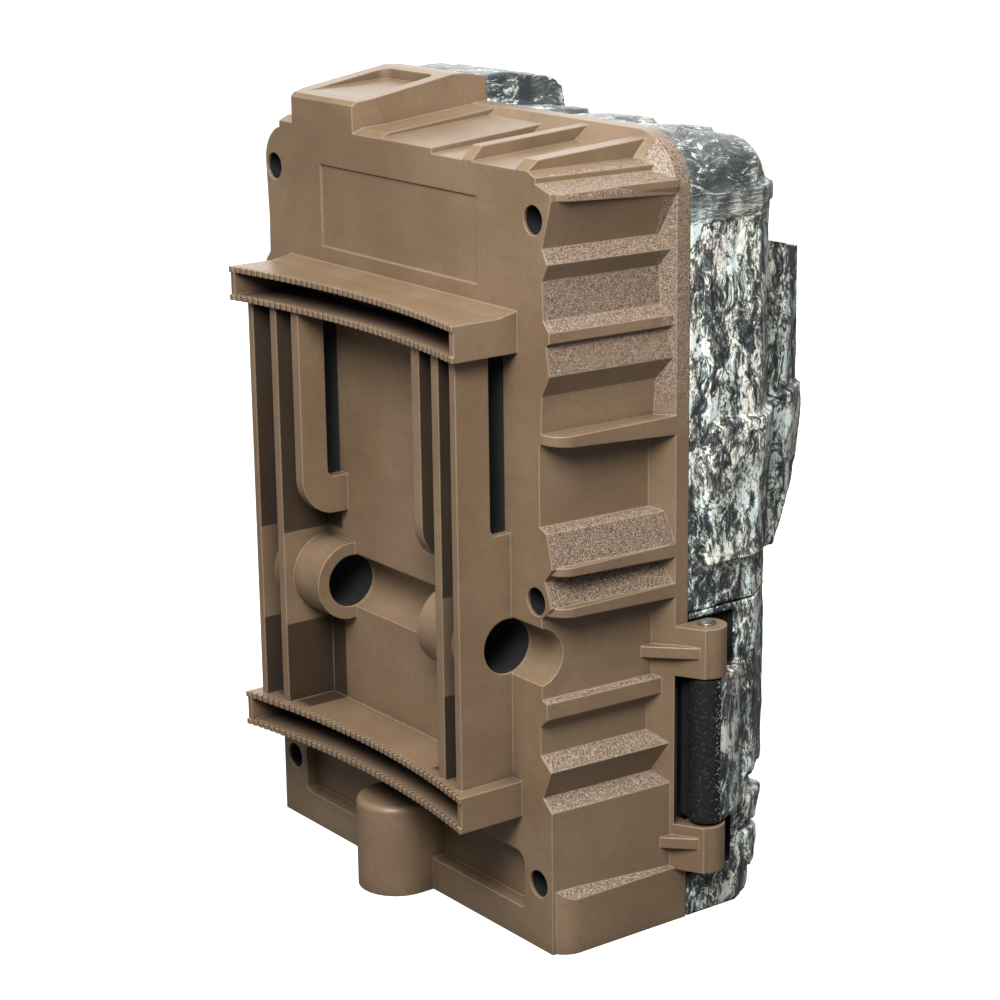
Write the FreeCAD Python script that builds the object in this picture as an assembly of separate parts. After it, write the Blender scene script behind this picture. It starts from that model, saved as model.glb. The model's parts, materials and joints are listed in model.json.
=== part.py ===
import FreeCAD, Part
import math
import os

# Trail camera with a moulded tree bracket on its back.
# Units are millimetres. +Z is up, the lens looks along -Y, the tree bracket faces +Y.
# The origin is the centre of the tripod socket's mouth, on the base plane.

V = FreeCAD.Vector

# ---------------------------------------------------------------- driving dimensions
HALF_W = 45.65            # half of the housing's width over the rim
TOP_Z = 142.2             # top of the rim
CORNER_R = 10.5           # rim's upper corners
REAR_Y = -3.0             # rear face, 3 mm in front of the tripod axis
RIM_Y = REAR_Y - 26.0     # rear edge of the rim's outer side
SEAM_Y = REAR_Y - 28.9    # joint between the rear housing and the front parts
FRONT_Y = REAR_Y - 50.9   # front plane of the front housing and the door
POD_Y = REAR_Y - 64.5     # front plane of the lens pod
WALL = 2.2                # usual wall

HALF_CAVITY = 38.6        # half of the rear housing's inner width
FLOOR_Z = 3.2             # floor of the inside
CEILING_Z = 135.5         # ceiling of the inside

DOOR_TOP_Z = 57.6         # top of the battery door
UPPER_Z = 58.0            # bottom of the fixed front housing

SCREW_X = 39.7            # case screws, left and right
SCREW_Z = (12.3, 64.4, 130.0)
RECESS_R = 2.5            # screw recess in the rear face
SEAT_Y = REAR_Y - 18.0    # seat of the screw heads
SCREW_R = 1.5             # screw shank

HINGE = (-48.0, REAR_Y - 31.4)   # hinge axis, in X and Y
KNUCKLE_R = 3.5
PIN_R = 1.25
RUN = 0.05                # running clearance on round fits

STRAP_Z = (75.0, 107.0)   # strap slot through the bracket ribs
STRAP_Y = REAR_Y + 4.3

LENS_Z = 86.0             # height of the lens axis
DECK_Y = SEAM_Y - 2.0     # front face of the control deck

TRAY_X = (-11.2, 34.0)    # battery tray
TRAY_Z = (3.5, 55.3)
TRAY_Y = (-40.4, -9.9)
CELL_R = 7.0
CELL_LENGTH = 49.2

PAD_CENTRE = (-25.5, 18.0)       # middle of the button cross, in X and Z
BUTTON_R = 2.42
BUTTON_PITCH = 7.0

os.makedirs("parts", exist_ok=True)


# ---------------------------------------------------------------- small helpers
def box(x, y, z):
    """A box from three (low, high) pairs."""
    return Part.makeBox(x[1] - x[0], y[1] - y[0], z[1] - z[0], V(x[0], y[0], z[0]))


def prism(points, direction):
    """A solid from a closed 3D outline and the direction it is drawn along."""
    return Part.Face(Part.makePolygon(points + [points[0]])).extrude(direction)


def prism_xz(outline, y):
    return prism([V(a, y[0], b) for a, b in outline], V(0, y[1] - y[0], 0))


def prism_xy(outline, z):
    return prism([V(a, b, z[0]) for a, b in outline], V(0, 0, z[1] - z[0]))


def prism_yz(outline, x):
    return prism([V(x[0], a, b) for a, b in outline], V(x[1] - x[0], 0, 0))


def rod_x(y, z, radius, x):
    return Part.makeCylinder(radius, x[1] - x[0], V(x[0], y, z), V(1, 0, 0))


def rod_y(x, z, radius, y):
    return Part.makeCylinder(radius, y[1] - y[0], V(x, y[0], z), V(0, 1, 0))


def rod_z(x, y, radius, z):
    return Part.makeCylinder(radius, z[1] - z[0], V(x, y, z[0]), V(0, 0, 1))


def union(shapes):
    whole = shapes[0]
    for shape in shapes[1:]:
        whole = whole.fuse(shape)
    return whole.removeSplitter()


def minus(shape, cutters):
    for cutter in cutters:
        shape = shape.cut(cutter)
    return shape.removeSplitter()


def mirrored(shape):
    """The same piece on the other side of the YZ plane."""
    return shape.mirror(V(0, 0, 0), V(1, 0, 0))


def both(shape):
    return [shape, mirrored(shape)]


def rounded_wire(x, z, radii, y):
    """A rectangle in the XZ plane; radii are its four corner radii, from low x and z, anticlockwise."""
    corners = [V(x[0], y, z[0]), V(x[1], y, z[0]), V(x[1], y, z[1]), V(x[0], y, z[1])]
    edges = []
    ends = []
    for i, corner in enumerate(corners):
        back = (corners[i - 1] - corner).normalize()
        ahead = (corners[(i + 1) % 4] - corner).normalize()
        r = radii[i]
        start = corner + back * r
        end = corner + ahead * r
        middle = corner + (back + ahead) * r * (1 - math.sqrt(0.5))
        ends.append((start, middle, end, r))
    for i, (start, middle, end, r) in enumerate(ends):
        if r > 0:
            edges.append(Part.Arc(start, middle, end).toShape())
        edges.append(Part.LineSegment(end, ends[(i + 1) % 4][0]).toShape())
    return Part.Wire(edges)


def rounded_plate(x, z, radii, y):
    return Part.Face(rounded_wire(x, z, radii, y[0])).extrude(V(0, y[1] - y[0], 0))


def even(radius):
    return (radius, radius, radius, radius)


def grown(span, by):
    """A (low, high) pair made larger at both ends, or smaller."""
    return (span[0] - by, span[1] + by)


def write(name, shape):
    """One STEP file per sub-part; a group of identical pieces is a compound of solids."""
    solids = shape.Solids
    body = solids[0] if len(solids) == 1 else Part.makeCompound(solids)
    if not body.isValid():
        print("NOT VALID", name)
    body.exportStep("parts/%s.step" % name)
    print(name, len(solids), round(body.Volume, 1))


# ---------------------------------------------------------------- rear housing
# Outline of the side panels, as (distance from the middle, height): bark-like ridges.
SIDE_RIDGES = [
    (43.6, 0.0), (43.6, 26.7), (41.2, 28.9), (43.5, 34.2), (40.6, 36.6), (40.6, 41.8),
    (42.5, 43.6), (42.5, 46.5), (41.2, 47.0), (41.2, 61.6), (43.9, 64.0), (42.1, 68.6),
    (44.2, 71.0), (42.7, 77.0), (40.8, 77.8), (40.8, 91.0), (41.4, 94.2), (41.7, 100.6),
    (43.8, 104.3), (42.9, 109.4), (43.8, 109.9), (43.8, 111.7), (42.2, 113.5), (42.0, 120.1)]
HINGE_SIDE_TOP = [(43.5, 123.0), (42.0, 125.5), (43.9, 131.7), (44.5, 133.6), (44.4, 134.8), (40.4, 136.0),
                  (40.4, 137.0), (38.4, 137.8)]
PORT_SIDE_HALF = 42.6     # the port side ends in one plain round corner
PORT_SIDE_R = 6.8
CORE_TOP_Z = 137.8
SIDE_DRAFT = 1.5          # how much wider the ridges are at the rim than at the rear face

# Fins that cross the side panel: height of the flat top, underside at the rear and at the rim.
FINS = ((94.1, 92.4, 90.5), (71.2, 69.8, 68.6), (64.0, 62.5, 61.3), (134.7, 133.6, 132.1))
FIN_CORNER_R = 4.0


def rim_solid(y):
    """The rim's outline, drawn between two depths."""
    return rounded_plate((-HALF_W, HALF_W), (0, TOP_Z), (0, 0, CORNER_R, CORNER_R), y)


def footprint(z, corner):
    """Plan of the full-width bands, with rounded rear corners."""
    wire = rounded_wire((-HALF_W, HALF_W), (0, REAR_Y - SEAM_Y), (0, 0, corner, corner), 0)
    face = Part.Face(wire)
    face.rotate(V(0, 0, 0), V(1, 0, 0), -90)
    face.translate(V(0, SEAM_Y, z[0]))
    return face.extrude(V(0, 0, z[1] - z[0]))


def housing_core():
    """Ridged body of the rear housing, widening from its rear face to the rim."""
    ridges = [V(-a, REAR_Y, b) for a, b in SIDE_RIDGES]
    top = [V(-a, REAR_Y, b) for a, b in HINGE_SIDE_TOP]
    ends = [V(0, REAR_Y, CORE_TOP_Z), V(0, REAR_Y, 0)]
    lean = V(-SIDE_DRAFT, RIM_Y - REAR_Y, 0)
    hinge_side = prism(ridges + top + ends, lean)

    r = PORT_SIDE_R
    start = V(-PORT_SIDE_HALF, REAR_Y, CORE_TOP_Z - r)
    middle_point = start + V(r * (1 - math.sqrt(0.5)), 0, r * math.sqrt(0.5))
    end = start + V(r, 0, r)
    edges = Part.makePolygon(ridges + [start]).Edges + [Part.Arc(start, middle_point, end).toShape()]
    edges += Part.makePolygon([end] + ends + [ridges[0]]).Edges
    port_side = Part.Face(Part.Wire(edges)).extrude(lean)

    middle = box((-SIDE_DRAFT - 1, SIDE_DRAFT + 1), (RIM_Y, REAR_Y), (0, CORE_TOP_Z))
    return union([hinge_side, mirrored(port_side), middle])


def top_relief():
    """Sloping floors and ribs on the top of the rear housing."""
    def ramp(x, rear_z, front_z, lead=0.0):
        outline = [(REAR_Y, 136.0), (REAR_Y, rear_z - lead), (REAR_Y - 2.2 * min(lead, 1.0), rear_z),
                   (RIM_Y, front_z), (RIM_Y, 136.0)]
        if lead == 0:
            outline.pop(1)
        return prism_yz(outline, x)

    return [
        ramp((-38.4, 37.5), 137.8, 139.4),
        ramp((-11.2, 4.4), 138.8, 140.9),
        ramp((4.4, 37.5), 139.6, 142.0, 0.9),
        ramp((-23.0, -20.4), 140.2, 141.7, 2.2),
        ramp((-38.4, -35.0), 139.5, 141.0, 1.6)]


def rim():
    """Full-width rim at the seam, with a sloping shoulder down to the ridged body."""
    outer = rounded_wire((-HALF_W, HALF_W), (0, TOP_Z), (0, 0, CORNER_R, CORNER_R), RIM_Y)
    inner = rounded_wire((-41.4, 41.4), (0, 139.3), (0, 0, 8.0, 8.0), RIM_Y + 3.9)
    shoulder = Part.makeLoft([outer, inner], True, True)
    return [rim_solid((SEAM_Y, RIM_Y)), shoulder]


def fins():
    """Wedge-shaped fins across the side panels; the top one is on the hinge side only."""
    bands = []
    for top, rear_low, front_low in FINS:
        wedge = prism_yz([(REAR_Y, top), (SEAM_Y, top), (SEAM_Y, front_low), (REAR_Y, rear_low)], (-60, 60))
        outside = footprint((front_low - 1, top + 1), FIN_CORNER_R)
        inside = rim_solid((SEAM_Y, REAR_Y))
        core = box((-41.0, 41.0), (SEAM_Y - 1, REAR_Y + 1), (front_low - 2, top + 2))
        band = wedge.common(outside).common(inside).cut(core)
        if top > SCREW_Z[-1]:
            band = band.common(box((-60, 0), (SEAM_Y, REAR_Y), (front_low, top)))
        bands.append(band)
    return bands


def foot_block():
    """Full-width foot under the ridges, with a sloping top ledge."""
    block = footprint((0, 12.0), 4.5)
    ledge = prism_xz([(-HALF_W, -1), (HALF_W, -1), (HALF_W, 10.3), (43.9, 11.8), (-43.9, 11.8),
                      (-HALF_W, 10.3)], (SEAM_Y, REAR_Y))
    return block.common(ledge)


HUMP_X = (13.1, 33.1)     # antenna hump on the top
HUMP_PEAK_Z = 147.7
HUMP_FLARE = 1.9          # the hump widens by this on each side, within the first 6 mm from the rear
HUMP_ROOM_X = (16.2, 30.2)
HUMP_ROOM_Z = (139.5, 142.2)


def hump(y_outline):
    """A drafted hump from its side outline."""
    wide = grown(HUMP_X, HUMP_FLARE)
    slab = prism_yz(y_outline, wide)
    draft = prism_xz([(wide[0], 130), (wide[0], 138.5), (wide[0] + 1.2, 150), (wide[1] - 1.2, 150),
                      (wide[1], 138.5), (wide[1], 130)], (FRONT_Y, REAR_Y))
    plan = prism_xy([(HUMP_X[0], REAR_Y), (wide[0], REAR_Y - 6.2), (wide[0], FRONT_Y), (wide[1], FRONT_Y),
                     (wide[1], REAR_Y - 6.2), (HUMP_X[1], REAR_Y)], (130, 150))
    return slab.common(draft).common(plan)


def rear_hump():
    outline = [(REAR_Y, 136), (REAR_Y, 143.6), (REAR_Y - 0.9, 144.3), (REAR_Y - 21.6, HUMP_PEAK_Z),
               (REAR_Y - 24.5, HUMP_PEAK_Z - 0.1), (SEAM_Y, 146.8), (SEAM_Y, 136)]
    return hump(outline)


def hump_recess():
    """Shallow dish in the top of the hump, deepest towards the front."""
    outline = [(REAR_Y - 2.4, 144.6), (REAR_Y - 25.0, 145.7), (REAR_Y - 25.0, 151), (REAR_Y - 2.4, 151)]
    plan = rounded_plate((14.9, 31.0), (-REAR_Y + 2.0, -REAR_Y + 19.8), even(2.0), (140, 151))
    plan.rotate(V(0, 0, 0), V(1, 0, 0), 90)
    slab = prism_yz(outline, (10, 36))
    return slab.common(plan)


# Tree bracket: ribs as (distance from the middle, thickness, rear edge), and two toothed shelves.
RIBS = ((31.8, 1.6, 8.2), (25.5, 2.0, 7.3), (19.05, 2.3, 6.8))
RIB_Z = (30.2, 107.0)
SHORT_RIB_Z = 68.0
SHELF_HALF = 35.1
SHELVES = ((107.0, 113.3), (23.6, 30.2))
SHELF_SKIN = 1.05
SHELF_EDGE = 7.0          # rear edge of a shelf in the middle
SHELF_BOW = 350.0         # the edge is an arc: depth grows with x squared over this
TEETH = 45
TOOTH_DEPTH = 0.9
TOOTH_FILL = 0.62         # share of the pitch that is tooth
END_WALL = 1.2

CABLE_Y = REAR_Y + 1.0    # cable-lock hole across the back
CABLE_Z = 54.7
CABLE_R = 5.0
CABLE_GROOVE_R = 5.3      # the open groove beside and between the bosses
CABLE_BOSS_R = 7.4
CABLE_BOSS_X = (16.0, 32.6)


def shelf_edge(x):
    return SHELF_EDGE + x * x / SHELF_BOW


def toothed_outline():
    """Plan of a shelf skin: straight at the rear face, an arc of fine teeth at the free edge."""
    points = [(-SHELF_HALF, REAR_Y - 0.5), (SHELF_HALF, REAR_Y - 0.5)]
    span = 2 * SHELF_HALF
    pitch = span / TEETH
    for i in range(TEETH):
        right = SHELF_HALF - i * pitch
        left = right - pitch * TOOTH_FILL
        points.append((right, shelf_edge(right)))
        points.append((left, shelf_edge(left)))
        if i < TEETH - 1:
            gap = right - pitch
            points.append((left, shelf_edge(left) - TOOTH_DEPTH))
            points.append((gap, shelf_edge(gap) - TOOTH_DEPTH))
    points.append((-SHELF_HALF, shelf_edge(SHELF_HALF)))
    return points


def shelf(z):
    """A shallow toothed box that bites into bark: two skins and two end walls."""
    outline = toothed_outline()
    low = prism_xy(outline, (z[0], z[0] + SHELF_SKIN))
    high = prism_xy(outline, (z[1] - SHELF_SKIN, z[1]))
    end = box((-SHELF_HALF, -SHELF_HALF + END_WALL), (REAR_Y - 0.5, shelf_edge(SHELF_HALF) - 0.4), z)
    return [low, high, end, mirrored(end)]


def rib(distance, thickness, edge):
    """One bracket rib; the inner pair is short, with a rounded lower corner."""
    x = (-distance - thickness / 2, -distance + thickness / 2)
    short = distance < 20
    low = SHORT_RIB_Z if short else RIB_Z[0]
    plate = box(x, (REAR_Y - 0.5, edge), (low, RIB_Z[1]))
    if short:
        r = 7.0
        corner = box(x, (edge - r, edge), (low, low + r)).cut(rod_x(edge - r, low + r, r, x))
        plate = plate.cut(corner)
    r = 1.5
    slot = box(x, (REAR_Y, STRAP_Y), (STRAP_Z[0] + r, STRAP_Z[1]))
    slot_low = box(x, (REAR_Y, STRAP_Y - r), (STRAP_Z[0], STRAP_Z[0] + r))
    slot_round = rod_x(STRAP_Y - r, STRAP_Z[0] + r, r, x)
    return minus(plate, [slot, slot_low, slot_round])


def cable_bosses():
    """Two bosses that the cable lock passes through, on one axis across the back."""
    boss = rod_x(CABLE_Y, CABLE_Z, CABLE_BOSS_R, (-CABLE_BOSS_X[1], -CABLE_BOSS_X[0]))
    half_space = box((-40, 0), (REAR_Y - 1.0, REAR_Y + 10), (CABLE_Z - 10, CABLE_Z + 10))
    return both(boss.common(half_space))


TRIPOD_R = 7.4
TRIPOD_TOP_Z = 17.5
INSERT_R = 4.6
INSERT_TOP_Z = 11.0
THREAD_R = 2.6
THREAD_DEPTH = 9.0


def tripod_boss():
    round_end = rod_z(0, 0, TRIPOD_R, (0, TRIPOD_TOP_Z))
    neck = box((-TRIPOD_R, TRIPOD_R), (REAR_Y - 4.0, 0), (0, TRIPOD_TOP_Z))
    boss = union([round_end, neck])
    top = [e for e in boss.Edges if e.BoundBox.ZMin > TRIPOD_TOP_Z - 0.01 and e.BoundBox.YMax > 0.01]
    return boss.makeFillet(1.2, top)


def foot_pockets():
    """Two shallow pockets beside the tripod boss."""
    radii = (1.0, 0.5, 0.5, 2.4)
    pocket = rounded_plate((-35.6, -TRIPOD_R), (6.2, 16.8), radii, (REAR_Y - 3.0, REAR_Y + 1))
    return both(pocket)


def housing_cavity():
    """Inside of the rear housing, kept clear of the foot pockets and of the cable groove."""
    w = HALF_CAVITY
    outline = [(-w, 19.2), (w, 19.2), (w, 128.0), (33.0, CEILING_Z), (-33.0, CEILING_Z), (-w, 128.0)]
    main = prism_xz(outline, (SEAM_Y - 1, REAR_Y - 2.4))
    low = box((-w, w), (SEAM_Y - 1, REAR_Y - 5.4), (FLOOR_Z, 19.2))
    in_hump = box(HUMP_ROOM_X, (SEAM_Y - 1, REAR_Y - 4.0), HUMP_ROOM_Z)
    passage = box(HUMP_ROOM_X, (SEAM_Y + 3.0, REAR_Y - 4.0), (CEILING_Z - 1, HUMP_ROOM_Z[1]))
    ridge = box((-60, 60), (REAR_Y - 6.4, REAR_Y), (47.2, 62.2))
    return union([main, low, in_hump, passage]).cut(ridge)


SEAL_X = 42.9             # outer half width of the case seal
SEAL_Z = (1.0, 139.2)
SEAL_W = 1.2


def seal_ring(y):
    outer = rounded_plate((-SEAL_X, SEAL_X), SEAL_Z, (2.0, 2.0, 8.0, 8.0), y)
    inner = rounded_plate((-SEAL_X + SEAL_W, SEAL_X - SEAL_W), (SEAL_Z[0] + SEAL_W, SEAL_Z[1] - SEAL_W),
                          (0.8, 0.8, 6.8, 6.8), y)
    return outer.cut(inner)


FIXED_KNUCKLES = ((10.1, 18.8), (46.9, 56.0))
DOOR_KNUCKLE = (19.1, 46.6)
DOOR_KNUCKLE_R = 3.1
GUSSETS = ((14.7, 16.7), (50.6, 52.6))


def hinge_arms():
    """Two fixed knuckles with their arms and the gusset plates that stiffen them."""
    hx, hy = HINGE
    solids = []
    for z, gusset in zip(FIXED_KNUCKLES, GUSSETS):
        arm = [(hx - KNUCKLE_R + 0.05, hy + 0.5), (hx - 2.7, hy + 2.7), (-HALF_W, RIM_Y),
               (-HALF_W + 2.0, RIM_Y), (-HALF_W + 2.0, SEAM_Y), (-HALF_W, SEAM_Y), (hx + 1.5, hy)]
        plate = [(-41.5, REAR_Y - 20.0), (hx - 1.6, hy + 3.6), (hx - 2.4, hy + 2.0), (-HALF_W, SEAM_Y),
                 (-41.5, SEAM_Y)]
        solids += [rod_z(hx, hy, KNUCKLE_R, z), prism_xy(arm, z), prism_xy(plate, gusset)]
    return solids


PORT_X = 40.6             # floor of the port pocket in the +X side panel
PORT_Y = (REAR_Y - 22.0, REAR_Y - 2.4)
PORT_Z = (78.2, 90.6)
PORT_MID_Z = 84.4
FLAP_AXIS = (42.2, REAR_Y - 4.2)
FLAP_PIN_R = 0.6
FLAP_LUGS = ((76.9, PORT_Z[0]), (PORT_Z[1], 92.3))
JACK_Y = REAR_Y - 9.2
USB_Y = REAR_Y - 17.4
JACK_R = 3.0
USB_HALF = (4.6, 1.7)     # half width and half height of the data port's mouth


def port_cutters():
    """Pocket and mouths for the power and data ports."""
    pocket = box((PORT_X, 50), PORT_Y, PORT_Z)
    jack = rod_x(JACK_Y, PORT_MID_Z, JACK_R, (30, 50))
    usb = box((30, 50), (USB_Y - USB_HALF[0], USB_Y + USB_HALF[0]),
              (PORT_MID_Z - USB_HALF[1], PORT_MID_Z + USB_HALF[1]))
    return [pocket, jack, usb]


def flap_lugs():
    """Two lugs that carry the pins of the port cover."""
    fx, fy = FLAP_AXIS
    lugs = []
    for z in FLAP_LUGS:
        lugs += [rod_z(fx, fy, 1.6, z), box((PORT_X - 0.5, fx), (fy - 1.6, fy + 1.6), z)]
    return lugs


def rear_housing():
    solid = union([housing_core()] + top_relief() + rim() + fins() + [foot_block()])
    solid = solid.fuse(rear_hump())
    ridge_top = box((-HALF_CAVITY - 1, HALF_CAVITY + 1), (REAR_Y - 6.4, REAR_Y - 1), (47.2, 62.2))
    posts = [rod_y(side * SCREW_X, z, 4.2, (SEAM_Y, REAR_Y - 2.0)) for z in SCREW_Z for side in (-1, 1)]
    shell = solid.cut(housing_cavity())
    keep = rim_solid((SEAM_Y, REAR_Y)).common(solid)
    shell = union([shell, ridge_top] + [post.common(keep) for post in posts])
    bracket = []
    for z in SHELVES:
        bracket += shelf(z)
    wedge = prism_yz([(REAR_Y - 0.5, SHELVES[0][1] - 0.2), (REAR_Y - 0.5, SHELVES[0][1] + 0.9),
                      (REAR_Y + 0.1, SHELVES[0][1] + 0.8), (REAR_Y + 5.0, SHELVES[0][1] - 0.2)],
                     (-SHELF_HALF, SHELF_HALF))
    for distance, thickness, edge in RIBS:
        bracket += both(rib(distance, thickness, edge))
    shell = union([shell, wedge, tripod_boss()] + bracket + cable_bosses() + hinge_arms() + flap_lugs())
    near, far = CABLE_BOSS_X
    cutters = [rod_x(CABLE_Y, CABLE_Z, CABLE_R, (-far, far)), hump_recess()]
    for span in ((-60, -far), (-near, near), (far, 60)):
        cutters.append(rod_x(CABLE_Y, CABLE_Z, CABLE_GROOVE_R, span))
    cutters += foot_pockets() + port_cutters()
    cutters += [box((-24, 24), (REAR_Y - 0.35, REAR_Y + 1), (117.0, 132.1))]
    cutters += [rod_z(0, 0, INSERT_R, (-1, INSERT_TOP_Z))]
    cutters += [seal_ring((SEAM_Y - 0.1, SEAM_Y + 1.0))]
    cutters += [rod_z(HINGE[0], HINGE[1], PIN_R, (FIXED_KNUCKLES[0][0] + 0.6, 60))]
    cutters += [box((-50, -43.0), (SEAM_Y - 1, RIM_Y), grown(DOOR_KNUCKLE, 0.3))]
    cutters += [rod_z(FLAP_AXIS[0], FLAP_AXIS[1], 1.6, PORT_Z)]
    cutters += [rod_z(FLAP_AXIS[0], FLAP_AXIS[1], FLAP_PIN_R + RUN, grown(PORT_Z, 1.0))]
    for z in SCREW_Z:
        for side in (-1, 1):
            cutters.append(rod_y(side * SCREW_X, z, RECESS_R, (SEAT_Y, REAR_Y + 1)))
            cutters.append(rod_y(side * SCREW_X, z, SCREW_R, (SEAM_Y - 1, SEAT_Y)))
    return minus(shell, cutters)


def case_screws():
    screws = []
    for z in SCREW_Z:
        for side in (-1, 1):
            x = side * SCREW_X
            head = rod_y(x, z, RECESS_R - 0.1, (SEAT_Y, SEAT_Y + 1.8))
            shank = rod_y(x, z, SCREW_R, (SEAT_Y - 20.0, SEAT_Y))
            slot_a = box((x - 1.4, x + 1.4), (SEAT_Y + 0.9, SEAT_Y + 2), (z - 0.3, z + 0.3))
            slot_b = box((x - 0.3, x + 0.3), (SEAT_Y + 0.9, SEAT_Y + 2), (z - 1.4, z + 1.4))
            screws.append(minus(union([head, shank]), [slot_a, slot_b]))
    return Part.makeCompound(screws)


def tripod_insert():
    body = rod_z(0, 0, INSERT_R, (0, INSERT_TOP_Z))
    return minus(body, [rod_z(0, 0, THREAD_R, (-1, THREAD_DEPTH))])


def hinge_pin():
    shank = rod_z(HINGE[0], HINGE[1], PIN_R, (FIXED_KNUCKLES[0][0] + 0.6, 56.2))
    head = rod_z(HINGE[0], HINGE[1], 1.6, (56.0, 56.4))
    return union([shank, head])


# ---------------------------------------------------------------- front housing
SIDE_CHAMFER_Y = REAR_Y - 44.5   # where the sides start to slope in towards the front plane
FRONT_HALF = 40.9                # half width of the front plane
FRONT_WALL = 2.4
PAD_X = 46.5                     # raised panel on each side
PAD_Y = REAR_Y - 32.7
PAD_Z = (66.0, 131.8)
POD_HALF = 38.5


# Sections of the front housing, from the seam to its front plane: depth, half width, top, corner radius.
FRONT_SECTIONS = ((SEAM_Y, HALF_W, TOP_Z, CORNER_R), (SIDE_CHAMFER_Y, 45.3, 139.0, 6.8),
                  (FRONT_Y + 1.6, 42.4, 136.2, 6.0), (FRONT_Y, FRONT_HALF, 133.8, 5.0))


def front_plan(inset):
    """Plan of the door, pulled in by a wall thickness where wanted."""
    a = HALF_W - inset
    b = FRONT_HALF - inset * 0.8
    return [(-a, SEAM_Y), (-a, SIDE_CHAMFER_Y + inset * 0.4), (-b, FRONT_Y + inset), (b, FRONT_Y + inset),
            (a, SIDE_CHAMFER_Y + inset * 0.4), (a, SEAM_Y)]


def front_block(z, inset):
    """Body of the door between two heights."""
    return prism_xy(front_plan(inset), z)


def front_form(bottom, inset):
    """Body of the fixed front housing: its top slopes down and its corners tighten towards the front."""
    wires = []
    for i, (y, half, top, radius) in enumerate(FRONT_SECTIONS):
        depth = y + inset * (0, 0.4, 1.0, 1.0)[i]
        r = max(radius - inset, 1.0)
        width = (-half + inset, half - inset)
        wires.append(rounded_wire(width, (bottom, top - inset), (0, 0, r, r), depth))
    return Part.makeLoft(wires, True, True)


POD_TOP_Z = (117.6, 121.6)       # top edge of the pod at its front plane and at the front housing
POD_SHOULDER = 6.5               # how far the pod's sides reach back from its front plane
POD_LOW_Z = 63.8                 # underside of the pod's sides
POD_TAPER = ((74.6, 79.5), (69.4, 63.0))   # oblique faces under the pod: reach from the axis, and height


def pod_taper(inset):
    """What the two oblique faces at the lower corners of the pod take away."""
    (far, top), (near, low) = POD_TAPER
    out, along = V(-0.6, -0.8, 0), V(0.8, -0.6, 0)
    points = []
    for reach, z in ((far - inset, top), (near - inset, low), (near - inset, 50), (95, 50), (95, top)):
        points.append(out * reach - along * 70 + V(0, 0, z))
    return both(prism(points, along * 140))


def pod(inset, low):
    """Lens pod: a raised block with sloping shoulders, for the lamps, the lens and the sensor."""
    a = POD_HALF - inset
    b = 34.0 - inset * 0.8
    front_top, back_top = (z - inset for z in POD_TOP_Z)
    plan = prism_xy([(-a, FRONT_Y + 4), (-a, POD_Y + POD_SHOULDER), (-b, POD_Y + inset), (b, POD_Y + inset),
                     (a, POD_Y + POD_SHOULDER), (a, FRONT_Y + 4)], (low, back_top + 2))
    waist = POD_LOW_Z + inset
    half_face = [(21, low), (25, waist), (a, waist), (a, back_top - 1.6), (a - 1.6, back_top + 2)]
    other_half = [(-x, z) for x, z in reversed(half_face)]
    face = prism_xz(half_face + other_half, (POD_Y - 1, FRONT_Y + 4))
    slope = prism_yz([(POD_Y, low), (POD_Y, front_top), (FRONT_Y, back_top), (FRONT_Y + 4, back_top + 1.0),
                      (FRONT_Y + 4, low)], (-60, 60))
    return minus(plan.common(face).common(slope), pod_taper(inset))


SHINGLE_PEAK_Z = 140.6           # height of a shingle's peak at its front end
SHINGLES = ((12.8, 2.4, -0.9), (-1.5, -16.6, -20.9), (-21.5, -32.2, -35.2))


def top_shingles():
    """Three bark-like steps on the top, each rising towards the hinge side, level with the rim."""
    front = SIDE_CHAMFER_Y
    steps = []
    for start, peak, drop in SHINGLES:
        outline = [(start, SHINGLE_PEAK_Z - 0.9), (peak + 2.0, SHINGLE_PEAK_Z),
                   (peak - 1.0, SHINGLE_PEAK_Z - 0.1), (drop, SHINGLE_PEAK_Z - 1.6), (drop, 136.5),
                   (start, 136.5)]
        points = [V(x, front, z) for x, z in outline]
        steps.append(prism(points, V(0, SEAM_Y - front, TOP_Z - SHINGLE_PEAK_Z)))
    return steps


def front_hump():
    outline = [(SEAM_Y, 136), (SEAM_Y, 146.8), (SEAM_Y - 3.0, 147.0), (SEAM_Y - 10.0, 146.3),
               (SEAM_Y - 15.5, 145.2), (SEAM_Y - 17.8, 143.6), (SEAM_Y - 18.8, 139.0), (SEAM_Y - 18.8, 134)]
    return hump(outline)


BEZEL_R = 11.0
WINDOW_R = 8.6
BARREL_R = 6.6
LAMP_X = (-29.0, 29.0)    # lamp window
LAMP_Z = (97.2, 115.2)
PIR_Z = (61.5, 74.5)
PIR_X = (-11.0, 11.0)     # motion sensor's lens


def front_outside():
    """Outer form of the fixed front housing, before it is hollowed."""
    block = front_form(UPPER_Z, 0)
    pad = prism_xy([(-PAD_X, PAD_Y), (-PAD_X, SIDE_CHAMFER_Y), (-FRONT_HALF - 0.8, FRONT_Y),
                    (-FRONT_HALF + 3, FRONT_Y), (-FRONT_HALF, PAD_Y)], PAD_Z)
    return union([block] + both(pad) + [pod(0, 59.5)] + top_shingles() + [front_hump()])


def front_inside():
    """Hollow of the fixed front housing."""
    block = front_form(UPPER_Z + WALL, FRONT_WALL)
    block = block.common(rounded_plate((-41.5, 41.5), (50, 137.8), (0, 0, 7, 7), (FRONT_Y, SEAM_Y + 1)))
    in_pod = pod(FRONT_WALL, 61.9)
    in_hump = box(HUMP_ROOM_X, (SEAM_Y - 12.0, SEAM_Y + 1), (136.0, HUMP_ROOM_Z[1]))
    return [block, in_pod, in_hump]


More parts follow.
